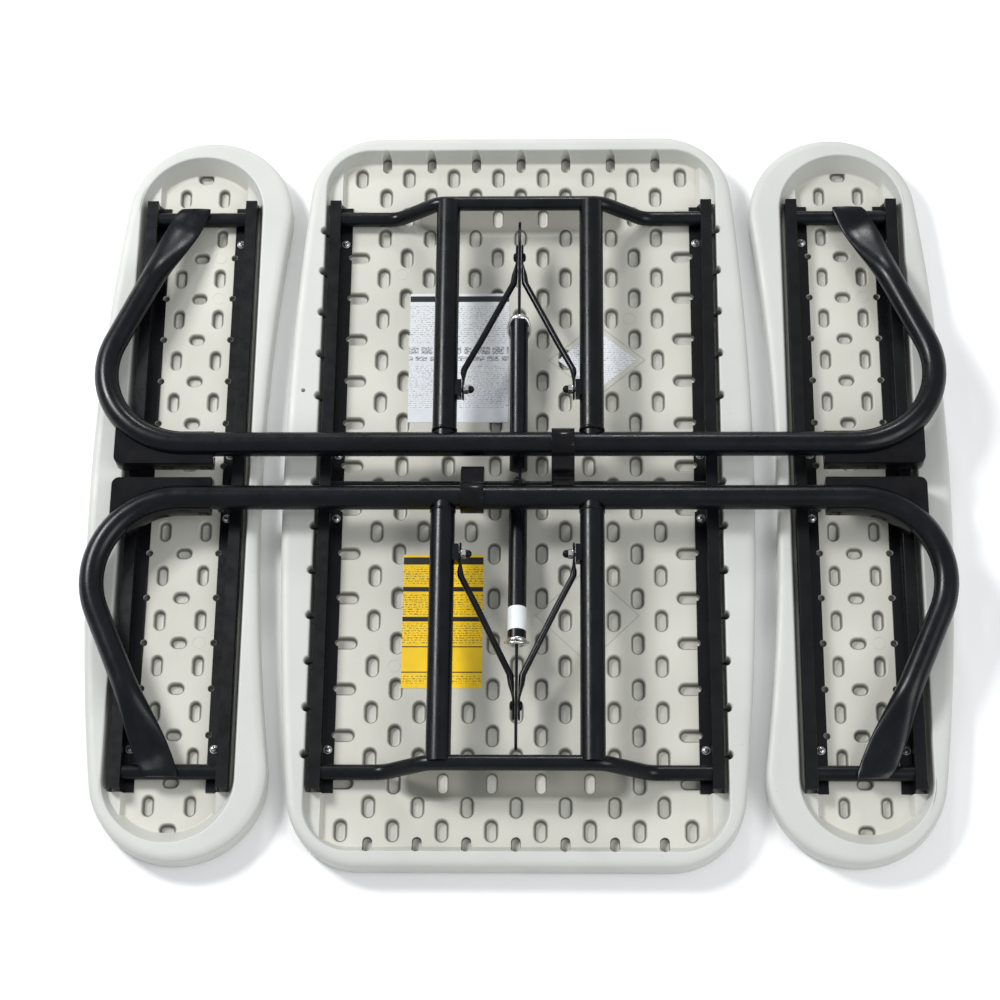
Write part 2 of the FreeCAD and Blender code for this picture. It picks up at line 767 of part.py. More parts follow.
def brace_points():
    """The brace's pin, the folded knee, and the struts' pivots, as places in the YZ plane.

    The strut is as long as makes brace and strut one straight line once the frame has turned upright.
    """
    pin = Vector(0, 0, pivot_z)
    lug = Vector(0, mm("strut_pivot_offset"), leg_z)
    hinge = Vector(0, pivot_y, pivot_z)
    swung = Rotation(Vector(1, 0, 0), -90).multVec(lug - hinge) + hinge
    brace = mm("brace_length")
    strut = (swung - pin).Length - brace
    span = (lug - pin).Length
    corner = math.acos((brace**2 + span**2 - strut**2) / (2 * brace * span))
    rise = math.atan2(lug.z - pin.z, lug.y - pin.y) - corner
    along = Vector(0, math.cos(rise), math.sin(rise))
    return pin, along, pin + along * brace, lug


def brace_tube():
    """The centre tube, with the flat eye that turns on the centre rod."""
    pin, along, _, _ = brace_points()
    start, end = pin + along * mm("brace_tube_start"), pin + along * mm("brace_tube_end")
    run = tube(start, end, mm("brace_diameter / 2"), mm("brace_wall"))
    thick = mm("bar_thickness")
    middle = pin + along * mm("brace_eye_middle") + Vector(mm("tab_gap") / 2 + thick / 2, 0, 0)
    eye = oriented_slot(middle, mm("brace_eye_length"), mm("brace_eye_width"), thick, along)
    plug = tube(start, start + along * mm("brace_plug"), mm("brace_diameter / 2 - brace_wall"))
    reach = Vector(2 * thick, 0, 0)
    hole = tube(pin - reach, pin + reach, mm("rod_diameter / 2 + pivot_clearance"))
    return run.fuse([plug, eye]).cut(hole)


def brace_bar():
    """The flat bar on edge from inside the tube, past the knee, to its tapered tip."""
    pin, along, _, _ = brace_points()
    up = Vector(1, 0, 0).cross(along)
    half, start, tip = mm("bar_height / 2"), mm("brace_tube_end - bar_inside"), mm("brace_tip")
    shoulder = (mm("bar_shoulder"), mm("bar_tip_height") - half)
    outline = [(start, -half), (start, half), (mm("bar_taper_start"), half), shoulder, (tip, -half)]
    near_side = Vector(-mm("bar_thickness / 2"), 0, 0)
    points = [pin + near_side + along * a + up * b for a, b in outline]
    face = Part.Face(Part.makePolygon(points + points[:1]))
    return face.extrude(Vector(mm("bar_thickness"), 0, 0))


def strut(x_sign):
    """A rod with flat ends: an eye on the upright's bolt and a plate beside the bar at the knee."""
    _, _, knee, lug = brace_points()
    along = (knee - lug).normalize()
    width, rod_radius = mm("strut_plate_width"), mm("strut_diameter / 2")
    eye_x = lug_face() - mm("tab_gap + strut_eye_thickness / 2")
    plate_x = mm("bar_thickness / 2 + tab_gap + strut_plate_thickness / 2")
    eye_middle = lug + Vector(eye_x, 0, 0) + along * mm("strut_eye_middle")
    eye = oriented_slot(eye_middle, mm("strut_eye_length"), width, mm("strut_eye_thickness"), along)
    plate_middle = knee + Vector(plate_x, 0, 0)
    plate = oriented_slot(plate_middle, mm("strut_plate_length"), width, mm("strut_plate_thickness"), along)
    rivet = Vector(mm("rivet_height"), 0, 0)
    head = tube(plate_middle, plate_middle + rivet, mm("rivet_diameter / 2"))
    sunk = mm("strut_rod_sunk")
    rod_out = Vector(eye_x + mm("strut_eye_thickness / 2 - strut_diameter / 2") - sunk, 0, 0)
    rod_in = Vector(plate_x, 0, 0) + rivet + Vector(sunk, 0, 0)
    rod = tube(
        lug + rod_out + along * mm("strut_rod_start"),
        knee + rod_in - along * mm("strut_rod_end"),
        rod_radius,
    )
    reach = Vector(mm("strut_eye_thickness"), 0, 0)
    eye_centre = lug + Vector(eye_x, 0, 0)
    hole = tube(eye_centre - reach, eye_centre + reach, mm("bolt_diameter / 2 + pivot_clearance"))
    solid = largest(eye.fuse([plate, head, rod]).cut(hole))
    return solid if x_sign > 0 else solid.mirror(Vector(0, 0, 0), Vector(1, 0, 0))


def lock_ring(name):
    """The ring that slides along the brace to hold the knee straight."""
    pin, along, _, _ = brace_points()
    return bound_tube(
        name,
        "brace_diameter / 2 + pivot_clearance + ring_wall",
        "ring_wall",
        "ring_length",
        pin + along * mm("brace_tube_end - ring_length"),
        along,
    )


crossbar_path, crossbar_shape = top_crossbar()
crossbar_solid = doc.addObject("Part::Feature", "Crossbar_solid")
crossbar_solid.Shape = swept_rod(crossbar_path, bar_radius)
bench_rods = [
    tube(
        Vector(s * mm("bench_inner_rail_face"), pivot_y, pivot_z),
        Vector(s * mm("bench_outer_rail_face"), pivot_y, pivot_z),
        bar_radius,
    )
    for s in (-1, 1)
]
ground_shape, ground_rod = ground_tube(bench_rods)

for frame, turn in (("a", 0), ("b", 180)):
    place = Placement(Vector(), Rotation(Vector(0, 0, 1), turn))
    keep_shape(crossbar_shape, f"top_crossbar_{frame}", place)
    keep_shape(ground_shape, f"ground_tube_{frame}", place)
    keep_shape(leg_clip(), f"leg_clip_{frame}", place)
    keep_shape(brace_tube(), f"brace_tube_{frame}", place)
    keep_shape(brace_bar(), f"brace_bar_{frame}", place)
    keep(lock_ring(f"ring_{frame}"), f"lock_ring_{frame}", place)
    for name, x_sign in (("left", -1), ("right", 1)):
        # the half turn of frame B swaps left and right
        own = x_sign if turn == 0 else -x_sign
        upright_x = own * mm("upright_offset")
        end = f"{frame}_{name}"
        keep(outer_upright(f"outer_{end}", upright_x, crossbar_solid), f"outer_upright_{end}", place)
        keep(collar(f"collar_{end}", upright_x), f"upright_collar_{end}", place)
        keep(inner_upright(f"inner_{end}", upright_x), f"inner_upright_{end}", place)
        keep(bench_crossbar(f"bench_{end}", own), f"bench_crossbar_{end}", place)
        keep_shape(strut_bracket(own), f"strut_bracket_{end}", place)
        keep_shape(strut_bolt(own), f"strut_bolt_{end}", place)
        keep_shape(strut(own), f"strut_{end}", place)
        keep_shape(foot(own, ground_rod), f"foot_{end}", place)

doc.recompute()
for obj in doc.Objects:
    if "Invalid" in obj.State or "Error" in obj.State:
        raise RuntimeError(f"{obj.Name} failed to recompute")
os.makedirs("parts", exist_ok=True)
for obj in subparts:
    if obj.Shape.isNull() or not obj.Shape.isValid():
        raise RuntimeError(f"{obj.Label} has no valid shape")
    obj.Shape.exportStep(f"parts/{obj.Label}.step")
    print(obj.Label, len(obj.Shape.Solids), round(obj.Shape.Volume))
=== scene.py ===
import bmesh
import bpy
import json
import math
from mathutils import Matrix, Vector

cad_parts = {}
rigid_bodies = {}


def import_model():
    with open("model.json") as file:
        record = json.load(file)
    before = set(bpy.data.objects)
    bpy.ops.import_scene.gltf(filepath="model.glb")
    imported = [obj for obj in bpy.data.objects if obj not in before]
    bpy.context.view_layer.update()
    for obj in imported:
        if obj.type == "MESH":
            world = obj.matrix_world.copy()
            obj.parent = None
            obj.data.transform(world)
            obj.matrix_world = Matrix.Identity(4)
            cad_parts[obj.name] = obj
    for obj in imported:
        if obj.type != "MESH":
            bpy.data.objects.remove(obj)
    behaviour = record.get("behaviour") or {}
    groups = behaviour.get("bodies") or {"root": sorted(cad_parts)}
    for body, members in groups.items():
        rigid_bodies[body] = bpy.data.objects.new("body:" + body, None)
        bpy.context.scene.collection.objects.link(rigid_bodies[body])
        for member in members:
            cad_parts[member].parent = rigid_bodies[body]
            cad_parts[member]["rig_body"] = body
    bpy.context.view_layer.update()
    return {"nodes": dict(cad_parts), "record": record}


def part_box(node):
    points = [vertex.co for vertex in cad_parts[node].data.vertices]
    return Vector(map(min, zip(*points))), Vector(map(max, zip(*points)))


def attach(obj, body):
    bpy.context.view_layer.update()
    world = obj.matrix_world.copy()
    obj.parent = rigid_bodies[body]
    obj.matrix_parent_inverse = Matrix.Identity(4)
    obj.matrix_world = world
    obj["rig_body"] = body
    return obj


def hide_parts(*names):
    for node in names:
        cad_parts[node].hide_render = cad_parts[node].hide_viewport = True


# Looks of a folding picnic table that lies folded on its tabletop. Lengths are in millimetres and become
# metres where a mesh is made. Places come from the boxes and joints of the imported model.

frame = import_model()
nodes = frame["nodes"]
joints = {row["name"]: row for row in frame["record"]["behaviour"]["joints"]}
scene = bpy.context.scene
MM = 0.001
SIDEWAYS = Vector((1, 0, 0))
UPWARDS = Vector((0, 0, 1))
BRACE_REACH = 254.0


def box_mm(node):
    """Lowest and highest corner of a CAD part, in millimetres."""
    low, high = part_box(node)
    return low / MM, high / MM


def side_extent(node):
    """The side that a CAD part lies on, and its nearest and farthest distance from the middle."""
    low, high = box_mm(node)
    side = 1 if high.x + low.x > 0 else -1
    near, far = sorted((abs(low.x), abs(high.x)))
    return side, near, far


def joint_place(name):
    """A joint's place in millimetres."""
    return Vector(joints[name]["pos_m"]) / MM


def joint_axis(name):
    return Vector(joints[name]["axis"]).normalized()


def knee_place(end):
    """Where a brace's bar meets its two struts."""
    return joint_place(f"brace_swing_{end}") + joint_axis(f"ring_slide_{end}") * BRACE_REACH


# ---- meshes ----


def add_piece(name, bm, materials, body, slot, *replaced):
    """Make an object from a mesh in millimetres and let it ride on a body in place of CAD parts."""
    bmesh.ops.recalc_face_normals(bm, faces=bm.faces)
    bm.transform(Matrix.Scale(MM, 4))
    mesh = bpy.data.meshes.new(name)
    bm.to_mesh(mesh)
    bm.free()
    for material in materials:
        mesh.materials.append(material)
    piece = bpy.data.objects.new(name, mesh)
    scene.collection.objects.link(piece)
    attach(piece, body)
    if replaced:
        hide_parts(*replaced)
    return piece


def smooth(piece, angle=32):
    """Smooth shading with sharp edges above an angle, and flat level faces kept flat."""
    mesh = piece.data
    mesh.shade_smooth()
    mesh.set_sharp_from_angle(angle=math.radians(angle))
    for face in mesh.polygons:
        if abs(face.normal.z) > 0.99999:
            face.use_smooth = False


def loft(bm, rings, closed=False, material=0):
    """Join rings of points, each with the same count, with quads and close the two ends."""
    rows = [[bm.verts.new(p) for p in ring] for ring in rings]
    count = len(rows[0])
    pairs = list(zip(rows, rows[1:]))
    if closed:
        pairs.append((rows[-1], rows[0]))
    for low, high in pairs:
        for i in range(count):
            j = (i + 1) % count
            bm.faces.new((low[i], low[j], high[j], high[i])).material_index = material
    if not closed:
        for row in (rows[0][::-1], rows[-1]):
            bm.faces.new(row).material_index = material


def arc(centre, radius, start, end, count):
    """Points on an arc, angles in degrees, the last point left out."""
    turns = [math.radians(start + (end - start) * i / count) for i in range(count)]
    return [Vector((centre[0] + radius * math.cos(t), centre[1] + radius * math.sin(t))) for t in turns]


def oval(centre, first, second, count):
    """Points round an oval in space, from its two half axes."""
    turns = [2 * math.pi * i / count for i in range(count)]
    return [centre + first * math.cos(t) + second * math.sin(t) for t in turns]


def resample(outline, count):
    """The closed outline as evenly spaced points, from where its +X side crosses y = 0."""
    start = next(i for i, (a, b) in enumerate(zip(outline, outline[1:] + outline[:1])) if a.y < 0 <= b.y)
    before, after = outline[start], outline[(start + 1) % len(outline)]
    first = before.lerp(after, before.y / (before.y - after.y))
    ring = [first] + outline[start + 1:] + outline[:start + 1] + [first]
    steps = [(b - a).length for a, b in zip(ring, ring[1:])]
    total = sum(steps)
    points, index, walked = [], 0, 0.0
    for i in range(count):
        target = total * i / count
        while walked + steps[index] < target:
            walked += steps[index]
            index += 1
        share = (target - walked) / steps[index] if steps[index] > 0 else 0.0
        points.append(ring[index].lerp(ring[index + 1], share))
    return points


def inset(ring, distance):
    """The outline moved inwards along its normals; the ring runs counter-clockwise."""
    moved = []
    for i, point in enumerate(ring):
        tangent = (ring[(i + 1) % len(ring)] - ring[i - 1]).normalized()
        moved.append(point + Vector((-tangent.y, tangent.x)) * distance)
    return moved


def level(ring, z):
    """A flat outline at a height."""
    return [Vector((p.x, p.y, z)) for p in ring]


def combine(piece, tool_bm, operation):
    """Boolean of a piece with a tool mesh in millimetres, applied to the piece's mesh."""
    bmesh.ops.recalc_face_normals(tool_bm, faces=tool_bm.faces)
    tool_bm.transform(Matrix.Scale(MM, 4))
    tool_mesh = bpy.data.meshes.new("tool")
    tool_bm.to_mesh(tool_mesh)
    tool_bm.free()
    tool = bpy.data.objects.new("tool", tool_mesh)
    scene.collection.objects.link(tool)
    modifier = piece.modifiers.new("Combine", "BOOLEAN")
    modifier.operation = operation
    modifier.solver = "MANIFOLD"
    modifier.object = tool
    bpy.context.view_layer.update()
    result = bpy.data.meshes.new_from_object(piece.evaluated_get(bpy.context.evaluated_depsgraph_get()))
    piece.modifiers.remove(modifier)
    materials = list(piece.data.materials)
    piece.data = result
    result.materials.clear()
    for material in materials:
        result.materials.append(material)
    bpy.data.objects.remove(tool)


# ---- materials ----


def new_material(name, colour, roughness, metallic=0.0):
    """A material with its node tree and its shader."""
    material = bpy.data.materials.new(name)
    material.use_nodes = True
    shader = material.node_tree.nodes["Principled BSDF"]
    shader.inputs["Base Color"].default_value = (*colour, 1)
    shader.inputs["Roughness"].default_value = roughness
    shader.inputs["Metallic"].default_value = metallic
    return material, material.node_tree, shader


def coordinates(tree, stretch=(1, 1, 1)):
    """Object coordinates, in metres, stretched along the axes."""
    place = tree.nodes.new("ShaderNodeTexCoord")
    mapping = tree.nodes.new("ShaderNodeMapping")
    mapping.inputs["Scale"].default_value = stretch
    tree.links.new(place.outputs["Object"], mapping.inputs["Vector"])
    return mapping.outputs["Vector"]


def noise(tree, scale, detail=4.0, roughness=0.55, stretch=(1, 1, 1)):
    """Cloudy pattern; its scale counts features per metre."""
    node = tree.nodes.new("ShaderNodeTexNoise")
    node.inputs["Scale"].default_value = scale
    node.inputs["Detail"].default_value = detail
    node.inputs["Roughness"].default_value = roughness
    tree.links.new(coordinates(tree, stretch), node.inputs["Vector"])
    return node.outputs["Fac"]


def spread(tree, value, low, high, to_low=0.0, to_high=1.0):
    """Map a value from one range to another, held at both ends."""
    node = tree.nodes.new("ShaderNodeMapRange")
    for name, number in zip(("From Min", "From Max", "To Min", "To Max"), (low, high, to_low, to_high)):
        node.inputs[name].default_value = number
    tree.links.new(value, node.inputs["Value"])
    return node.outputs["Result"]


def mixed(tree, factor, first, second):
    """A colour between two; each is a colour or an output."""
    node = tree.nodes.new("ShaderNodeMix")
    node.data_type = "RGBA"
    tree.links.new(factor, node.inputs["Factor"])
    colour_sockets = [s for s in node.inputs if s.type == "RGBA"]
    for socket, colour in zip(colour_sockets, (first, second)):
        if isinstance(colour, tuple):
            socket.default_value = (*colour, 1)
        else:
            tree.links.new(colour, socket)
    return next(s for s in node.outputs if s.type == "RGBA")


def bump(tree, shader, layers):
    """Stack of bumps on the shader: (height, distance in metres, strength)."""
    normal = None
    for height, distance, strength in layers:
        node = tree.nodes.new("ShaderNodeBump")
        node.inputs["Distance"].default_value = distance
        node.inputs["Strength"].default_value = strength
        tree.links.new(height, node.inputs["Height"])
        if normal is not None:
            tree.links.new(normal, node.inputs["Normal"])
        normal = node.outputs["Normal"]
    tree.links.new(normal, shader.inputs["Normal"])


def moulded_plastic(name, recessed):
    """Off-white moulded panel with pebble, mottling and specks; in a recess, painted shade makes it darker
    and warmer towards its floor and darkens the walls of its pits.
    """
    material, tree, shader = new_material(name, (0.6, 0.6, 0.57), 0.5)
    mottle = spread(tree, noise(tree, 7, 3), 0.35, 0.65)
    base = mixed(tree, mottle, (0.515, 0.522, 0.495), (0.56, 0.568, 0.54))
    if recessed:
        height = tree.nodes.new("ShaderNodeSeparateXYZ")
        tree.links.new(coordinates(tree), height.inputs["Vector"])
        level_z = height.outputs["Z"]
        floor = FLOOR_Z * MM
        # painted shade: darker, warmer colours low in the recess, fading out 12 mm above its floor
        recess_shade_tone = mixed(tree, mottle, (0.51, 0.505, 0.445), (0.58, 0.575, 0.515))
        streaks = spread(tree, noise(tree, 30, 6, stretch=(1, 0.15, 1)), 0.5, 0.75, 0, 0.3)
        recess_shade_tone = mixed(tree, streaks, recess_shade_tone, (0.465, 0.458, 0.40))
        base = mixed(tree, spread(tree, level_z, floor + 0.001, floor + 0.012, 1, 0), base, recess_shade_tone)
        # painted shade on the walls of the pits; the pits' floors are painted pale again
        pit_wall_shade = spread(tree, level_z, floor - 0.0034, floor - 0.0002, 0.92, 0)
        base = mixed(tree, pit_wall_shade, base, (0.11, 0.108, 0.088))
        pit_floor = spread(tree, level_z, floor - 0.0064, floor - 0.0055, 0.88, 0)
        base = mixed(tree, pit_floor, base, (0.56, 0.555, 0.50))
    specks = spread(tree, noise(tree, 420, 1), 0.77, 0.80, 0, 0.6)
    base = mixed(tree, specks, base, (0.33, 0.31, 0.27))
    tree.links.new(base, shader.inputs["Base Color"])
    rough = spread(tree, noise(tree, 45, 5), 0.3, 0.7, 0.40, 0.54)
    tree.links.new(rough, shader.inputs["Roughness"])
    pebble = noise(tree, 1100, 2)
    waves = noise(tree, 60, 2)
    bump(tree, shader, [(waves, 0.0012, 0.2), (pebble, 0.0002, 0.45)])
    return material


def black_paint(name, colour, sheen_colour, roughness, grain):
    """Powder coat on steel: orange peel, uneven gloss and a few pale scuffs."""
    material, tree, shader = new_material(name, colour, roughness)
    tone = spread(tree, noise(tree, 25, 4), 0.35, 0.7)
    base = mixed(tree, tone, colour, sheen_colour)
    scuffs = spread(tree, noise(tree, 160, 6, 0.7, (1, 3, 3)), 0.70, 0.78, 0, 0.2)
    base = mixed(tree, scuffs, base, (0.05, 0.05, 0.05))
    tree.links.new(base, shader.inputs["Base Color"])
    gloss = spread(tree, noise(tree, 70, 5), 0.3, 0.7, roughness - 0.06, roughness + 0.08)
    tree.links.new(gloss, shader.inputs["Roughness"])
    shader.inputs["Specular IOR Level"].default_value = 0.26
    peel = noise(tree, grain, 2)
    bump(tree, shader, [(peel, 0.0002, 0.14)])
    return material


def black_moulding():
    """Glossy black plastic with a fine moulded grain and slightly uneven gloss."""
    material, tree, shader = new_material("black_moulding", (0.006, 0.006, 0.007), 0.22)
    tone = spread(tree, noise(tree, 40, 4), 0.3, 0.7)
    base = mixed(tree, tone, (0.005, 0.005, 0.006), (0.010, 0.010, 0.011))
    tree.links.new(base, shader.inputs["Base Color"])
    gloss = spread(tree, noise(tree, 35, 3), 0.35, 0.65, 0.12, 0.19)
    tree.links.new(gloss, shader.inputs["Roughness"])
    shader.inputs["Specular IOR Level"].default_value = 0.12
    bump(tree, shader, [(noise(tree, 1400, 2), 0.0001, 0.2)])
    return material


def zinc():
    """Bright zinc plating with fine brushing and duller patches."""
    material, tree, shader = new_material("zinc_plate", (0.66, 0.66, 0.65), 0.25, metallic=1.0)
    tone = spread(tree, noise(tree, 260, 4), 0.3, 0.7)
    tree.links.new(mixed(tree, tone, (0.50, 0.50, 0.50), (0.74, 0.74, 0.73)), shader.inputs["Base Color"])
    gloss = spread(tree, noise(tree, 500, 4, stretch=(1, 6, 1)), 0.3, 0.7, 0.18, 0.38)
    tree.links.new(gloss, shader.inputs["Roughness"])
    bump(tree, shader, [(noise(tree, 1500, 3, stretch=(1, 8, 1)), 0.00008, 0.4)])
    return material


def paper(name, colour):
    """Printed label stock: slight mottling and a soft gloss."""
    material, tree, shader = new_material(name, colour, 0.45)
    tone = spread(tree, noise(tree, 60, 4), 0.3, 0.7)
    shade = tuple(c * 0.9 for c in colour)
    tree.links.new(mixed(tree, tone, shade, colour), shader.inputs["Base Color"])
    gloss = spread(tree, noise(tree, 120, 4), 0.3, 0.7, 0.38, 0.5)
    tree.links.new(gloss, shader.inputs["Roughness"])
    bump(tree, shader, [(noise(tree, 500, 3), 0.0001, 0.3)])
    return material


def printed_lines(name, colour, ink, row_height, length=2.6, gap=0.27):
    """Label stock with rows of plain dashes or blocks, which stand for lines of print or small pictures."""
    material, tree, shader = new_material(name, colour, 0.45)
    rows = tree.nodes.new("ShaderNodeTexBrick")
    rows.offset = 0.37
    rows.squash = 0.62
    rows.squash_frequency = 3
    rows.inputs["Color1"].default_value = (*ink, 1)
    rows.inputs["Color2"].default_value = (*(c * 1.6 for c in ink), 1)
    rows.inputs["Mortar"].default_value = (*colour, 1)
    rows.inputs["Scale"].default_value = 1 / MM
    rows.inputs["Row Height"].default_value = row_height
    rows.inputs["Brick Width"].default_value = row_height * length
    rows.inputs["Mortar Size"].default_value = row_height * gap
    rows.inputs["Mortar Smooth"].default_value = 0.4
    tree.links.new(coordinates(tree), rows.inputs["Vector"])
    gaps = spread(tree, noise(tree, 420, 2, stretch=(1, 2.5, 1)), 0.46, 0.52)
    tree.links.new(mixed(tree, gaps, colour, rows.outputs["Color"]), shader.inputs["Base Color"])
    gloss = spread(tree, noise(tree, 120, 4), 0.3, 0.7, 0.38, 0.5)
    tree.links.new(gloss, shader.inputs["Roughness"])
    bump(tree, shader, [(noise(tree, 500, 3), 0.0001, 0.3)])
    return material


def pale_floor():
    """Seamless pale studio floor with a faint unevenness."""
    material, tree, shader = new_material("studio_floor", (0.9, 0.9, 0.9), 0.8)
    tone = spread(tree, noise(tree, 2, 2), 0.3, 0.7)
    tree.links.new(mixed(tree, tone, (0.95, 0.95, 0.95), (0.97, 0.97, 0.97)), shader.inputs["Base Color"])
    bump(tree, shader, [(noise(tree, 60, 2), 0.0005, 0.05)])
    return material


# ---- panels ----

table_high = box_mm("tabletop_panel")[1]
PANEL_TOP = table_high.z
FLOOR_Z = box_mm("instruction_label")[0].z
RING_POINTS = 480
FACE_ROUND = 7.0
RIM_ROUND_WIDE = 9.0
RIM_ROUND_DEEP = 5.0
MOUTH_ROUND = 2.0
WALL_FOOT = 3.0
# recess mouths and feet: half width, half length and corner, or half width and half of the straight part
TABLE_MOUTH = (213.0, 396.0, 48.0)
TABLE_FOOT = (211.5, 389.0, 44.0)
BENCH_MIDDLE = 350.0
BENCH_MOUTH = (67.0, 321.0)
BENCH_FOOT = (64.0, 312.0)
LEDGE_HEIGHT = 7.0
# dimples: half length and half width, and (growth, height from the recess floor) down a pit
DIMPLE_PITCH = 49.5
TABLE_DIMPLE = (10.0, 5.0)
BENCH_DIMPLE = (9.2, 4.0)
BENCH_PAIR = 21.3
NOTCH_LINE = 24.0
VENT_PLACE = (-230.0, 105.0)
TABLE_MARKS = (
    (-129, 251.5), (118, 197.5), (-20, 201.5), (20, -148.5),
    (-126, -198.5), (126, -248.5), (-70, -18.5), (74, 51.5),
)
BENCH_MARKS = ((1, 222.75), (-1, -24.75), (1, -173.25), (1, 272.25))
DIMPLE_FLARE = ((3.2, 0.7), (3.2, 0.0), (2.7, -0.25), (2.1, -0.9), (1.5, -2.1), (0.8, -4.0), (0.0, -5.6))
DIMPLE_FLOOR = ((-0.7, -6.3), (-1.7, -6.6), (-3.0, -6.7))
NOTCH_PIT = ((0.3, 0.7), (0.3, 0.0), (0.0, -0.5), (-0.3, -3.0), (-0.8, -4.6), (-2.0, -5.0))


def table_outline():
    """Straight ends, slightly bowed sides and large round corners."""
    bow, corner = 3470.0, 76.0
    half_width, half_length = table_high.x, table_high.y
    centre_y = half_length - corner
    reach = bow - corner
    centre_x = math.sqrt(reach**2 - centre_y**2) - (bow - half_width)
    lean = math.degrees(math.asin(centre_y / reach))
    points = arc((half_width - bow, 0), bow, -lean, lean, 60)
    points += arc((centre_x, centre_y), corner, lean, 90, 40)
    points += arc((-centre_x, centre_y), corner, 90, 180 - lean, 40)
    points += arc((bow - half_width, 0), bow, 180 - lean, 180 + lean, 60)
    points += arc((-centre_x, -centre_y), corner, 180 + lean, 270, 40)
    points += arc((centre_x, -centre_y), corner, 270, 360 - lean, 40)
    return points


def table_recess(half_x, half_y, corner):
    """The outline of the hollow behind the tabletop at one height, a rounded rectangle."""
    x, y = half_x - corner, half_y - corner
    points = arc((x, y), corner, 0, 90, 40) + arc((-x, y), corner, 90, 180, 40)
    return points + arc((-x, -y), corner, 180, 270, 40) + arc((x, -y), corner, 270, 360, 40)


def bench_outline(side):
    """A strip of constant width along an arc that bows away from the table, with half-round ends."""
    bow, half_width, end_offset = 2489.0, 90.0, 318.0
    middle = 361.0
    centre = (-side * (bow - middle), 0)
    lean = math.degrees(math.asin(end_offset / bow))
    turn = 0 if side > 0 else 180
    tips = []
    for heading, start in ((turn + lean, turn + lean), (turn - lean, turn - lean + 180)):
        angle = math.radians(heading)
        tip = (centre[0] + bow * math.cos(angle), bow * math.sin(angle))
        tips.append(arc(tip, half_width, start, start + 180, 60))
    far = arc(centre, bow + half_width, turn - lean, turn + lean, 60)
    near = arc(centre, bow - half_width, turn + lean, turn - lean, 60)
    return far + tips[0] + near + tips[1]


def bench_recess(side, half_width, end):
    """The outline of the hollow behind a bench at one height, a long slot with half-round ends."""
    x = side * BENCH_MIDDLE
    return arc((x, end), half_width, 0, 180, 60) + arc((x, -end), half_width, 180, 360, 60)


def quarter_steps(count):
    """Angles of a quarter turn, both ends included."""
    return [math.radians(90 * i / count) for i in range(count + 1)]


def panel_blank(outline, mouth, foot):
    """Solid of a panel without its dimples: face, side, rim and a recess from its mouth down to its foot."""
    outer = resample(outline, RING_POINTS)
    mouth = resample(mouth, RING_POINTS)
    foot = resample(foot, RING_POINTS)
    rings = []
    for turn in quarter_steps(5):
        distance = FACE_ROUND * (1 - math.sin(turn))
        rings.append(level(inset(outer, distance), FACE_ROUND * (1 - math.cos(turn))))
    for turn in quarter_steps(7):
        distance = RIM_ROUND_WIDE * (1 - math.cos(turn))
        rings.append(level(inset(outer, distance), PANEL_TOP - RIM_ROUND_DEEP * (1 - math.sin(turn))))
    for turn in quarter_steps(4):
        distance = MOUTH_ROUND * (math.sin(turn) - 1)
        rings.append(level(inset(mouth, distance), PANEL_TOP - MOUTH_ROUND * (1 - math.cos(turn))))
    for turn in quarter_steps(4):
        distance = WALL_FOOT * (1 - math.cos(turn))
        rings.append(level(inset(foot, distance), FLOOR_Z + WALL_FOOT * (1 - math.sin(turn))))
    bm = bmesh.new()
    loft(bm, rings)
    return bm


def stadium(x, y, half_length, half_width, crosswise, steps=8):
    """A slot outline, long along Y or, crosswise, along X."""
    straight = half_length - half_width
    points = arc((0, straight), half_width, 0, 180, steps) + [Vector((-half_width, straight))]
    points += arc((0, -straight), half_width, 180, 360, steps) + [Vector((half_width, -straight))]
    if crosswise:
        points = [Vector((-p.y, p.x)) for p in points]
    return [Vector((x + p.x, y + p.y)) for p in points]


def dimple(bm, x, y, half_length, half_width, crosswise=False, profile=DIMPLE_FLARE + DIMPLE_FLOOR):
    """A slot-shaped pit with a flared mouth; the profile gives growth and height from the recess floor."""
    rings = []
    for growth, height in profile:
        ring = stadium(x, y, half_length + growth, half_width + growth, crosswise)
        rings.append(level(ring, FLOOR_Z + height))
    loft(bm, rings)


def flute(bm, x, y, half_length, half_width, crosswise=False):
    """A slot that runs up through the recess wall to the rim."""
    rise = PANEL_TOP - FLOOR_Z
    profile = ((1.4, rise + 1), (1.4, rise), (0.5, rise - 0.7), (0.0, rise - 2.5), (0.0, -2.0)) + DIMPLE_FLOOR
    dimple(bm, x, y, half_length, half_width, crosswise, profile)


def rounded_box(half_x, half_y, corner, steps=5):
    """A rectangle with round corners, as few points as its corners need."""
    corner = min(corner, half_x * 0.9, half_y * 0.9)
    x, y = half_x - corner, half_y - corner
    points = []
    for cx, cy, start in ((x, y, 0), (-x, y, 90), (-x, -y, 180), (x, -y, 270)):
        points += arc((cx, cy), corner, start, start + 90, steps)
        points += arc((cx, cy), corner, start + 90, start + 91, 1)
    return points


def trough(bm, half_x, y_low, y_high, depth, slope):
    """A shallow hollow with soft sloping sides, centred on x = 0; its first ring stands above the floor."""
    rings = []
    y, half_y = (y_low + y_high) / 2, (y_high - y_low) / 2
    for share in (-0.3, 0.0, 0.15, 0.5, 0.85, 1.0):
        fall = depth * (0.5 - 0.5 * math.cos(math.pi * share)) if share > 0 else 2.0 * share
        ring = rounded_box(half_x - slope * share, half_y - slope * share, 14)
        rings.append([Vector((p.x, y + p.y, FLOOR_Z - fall)) for p in ring])
    loft(bm, rings)


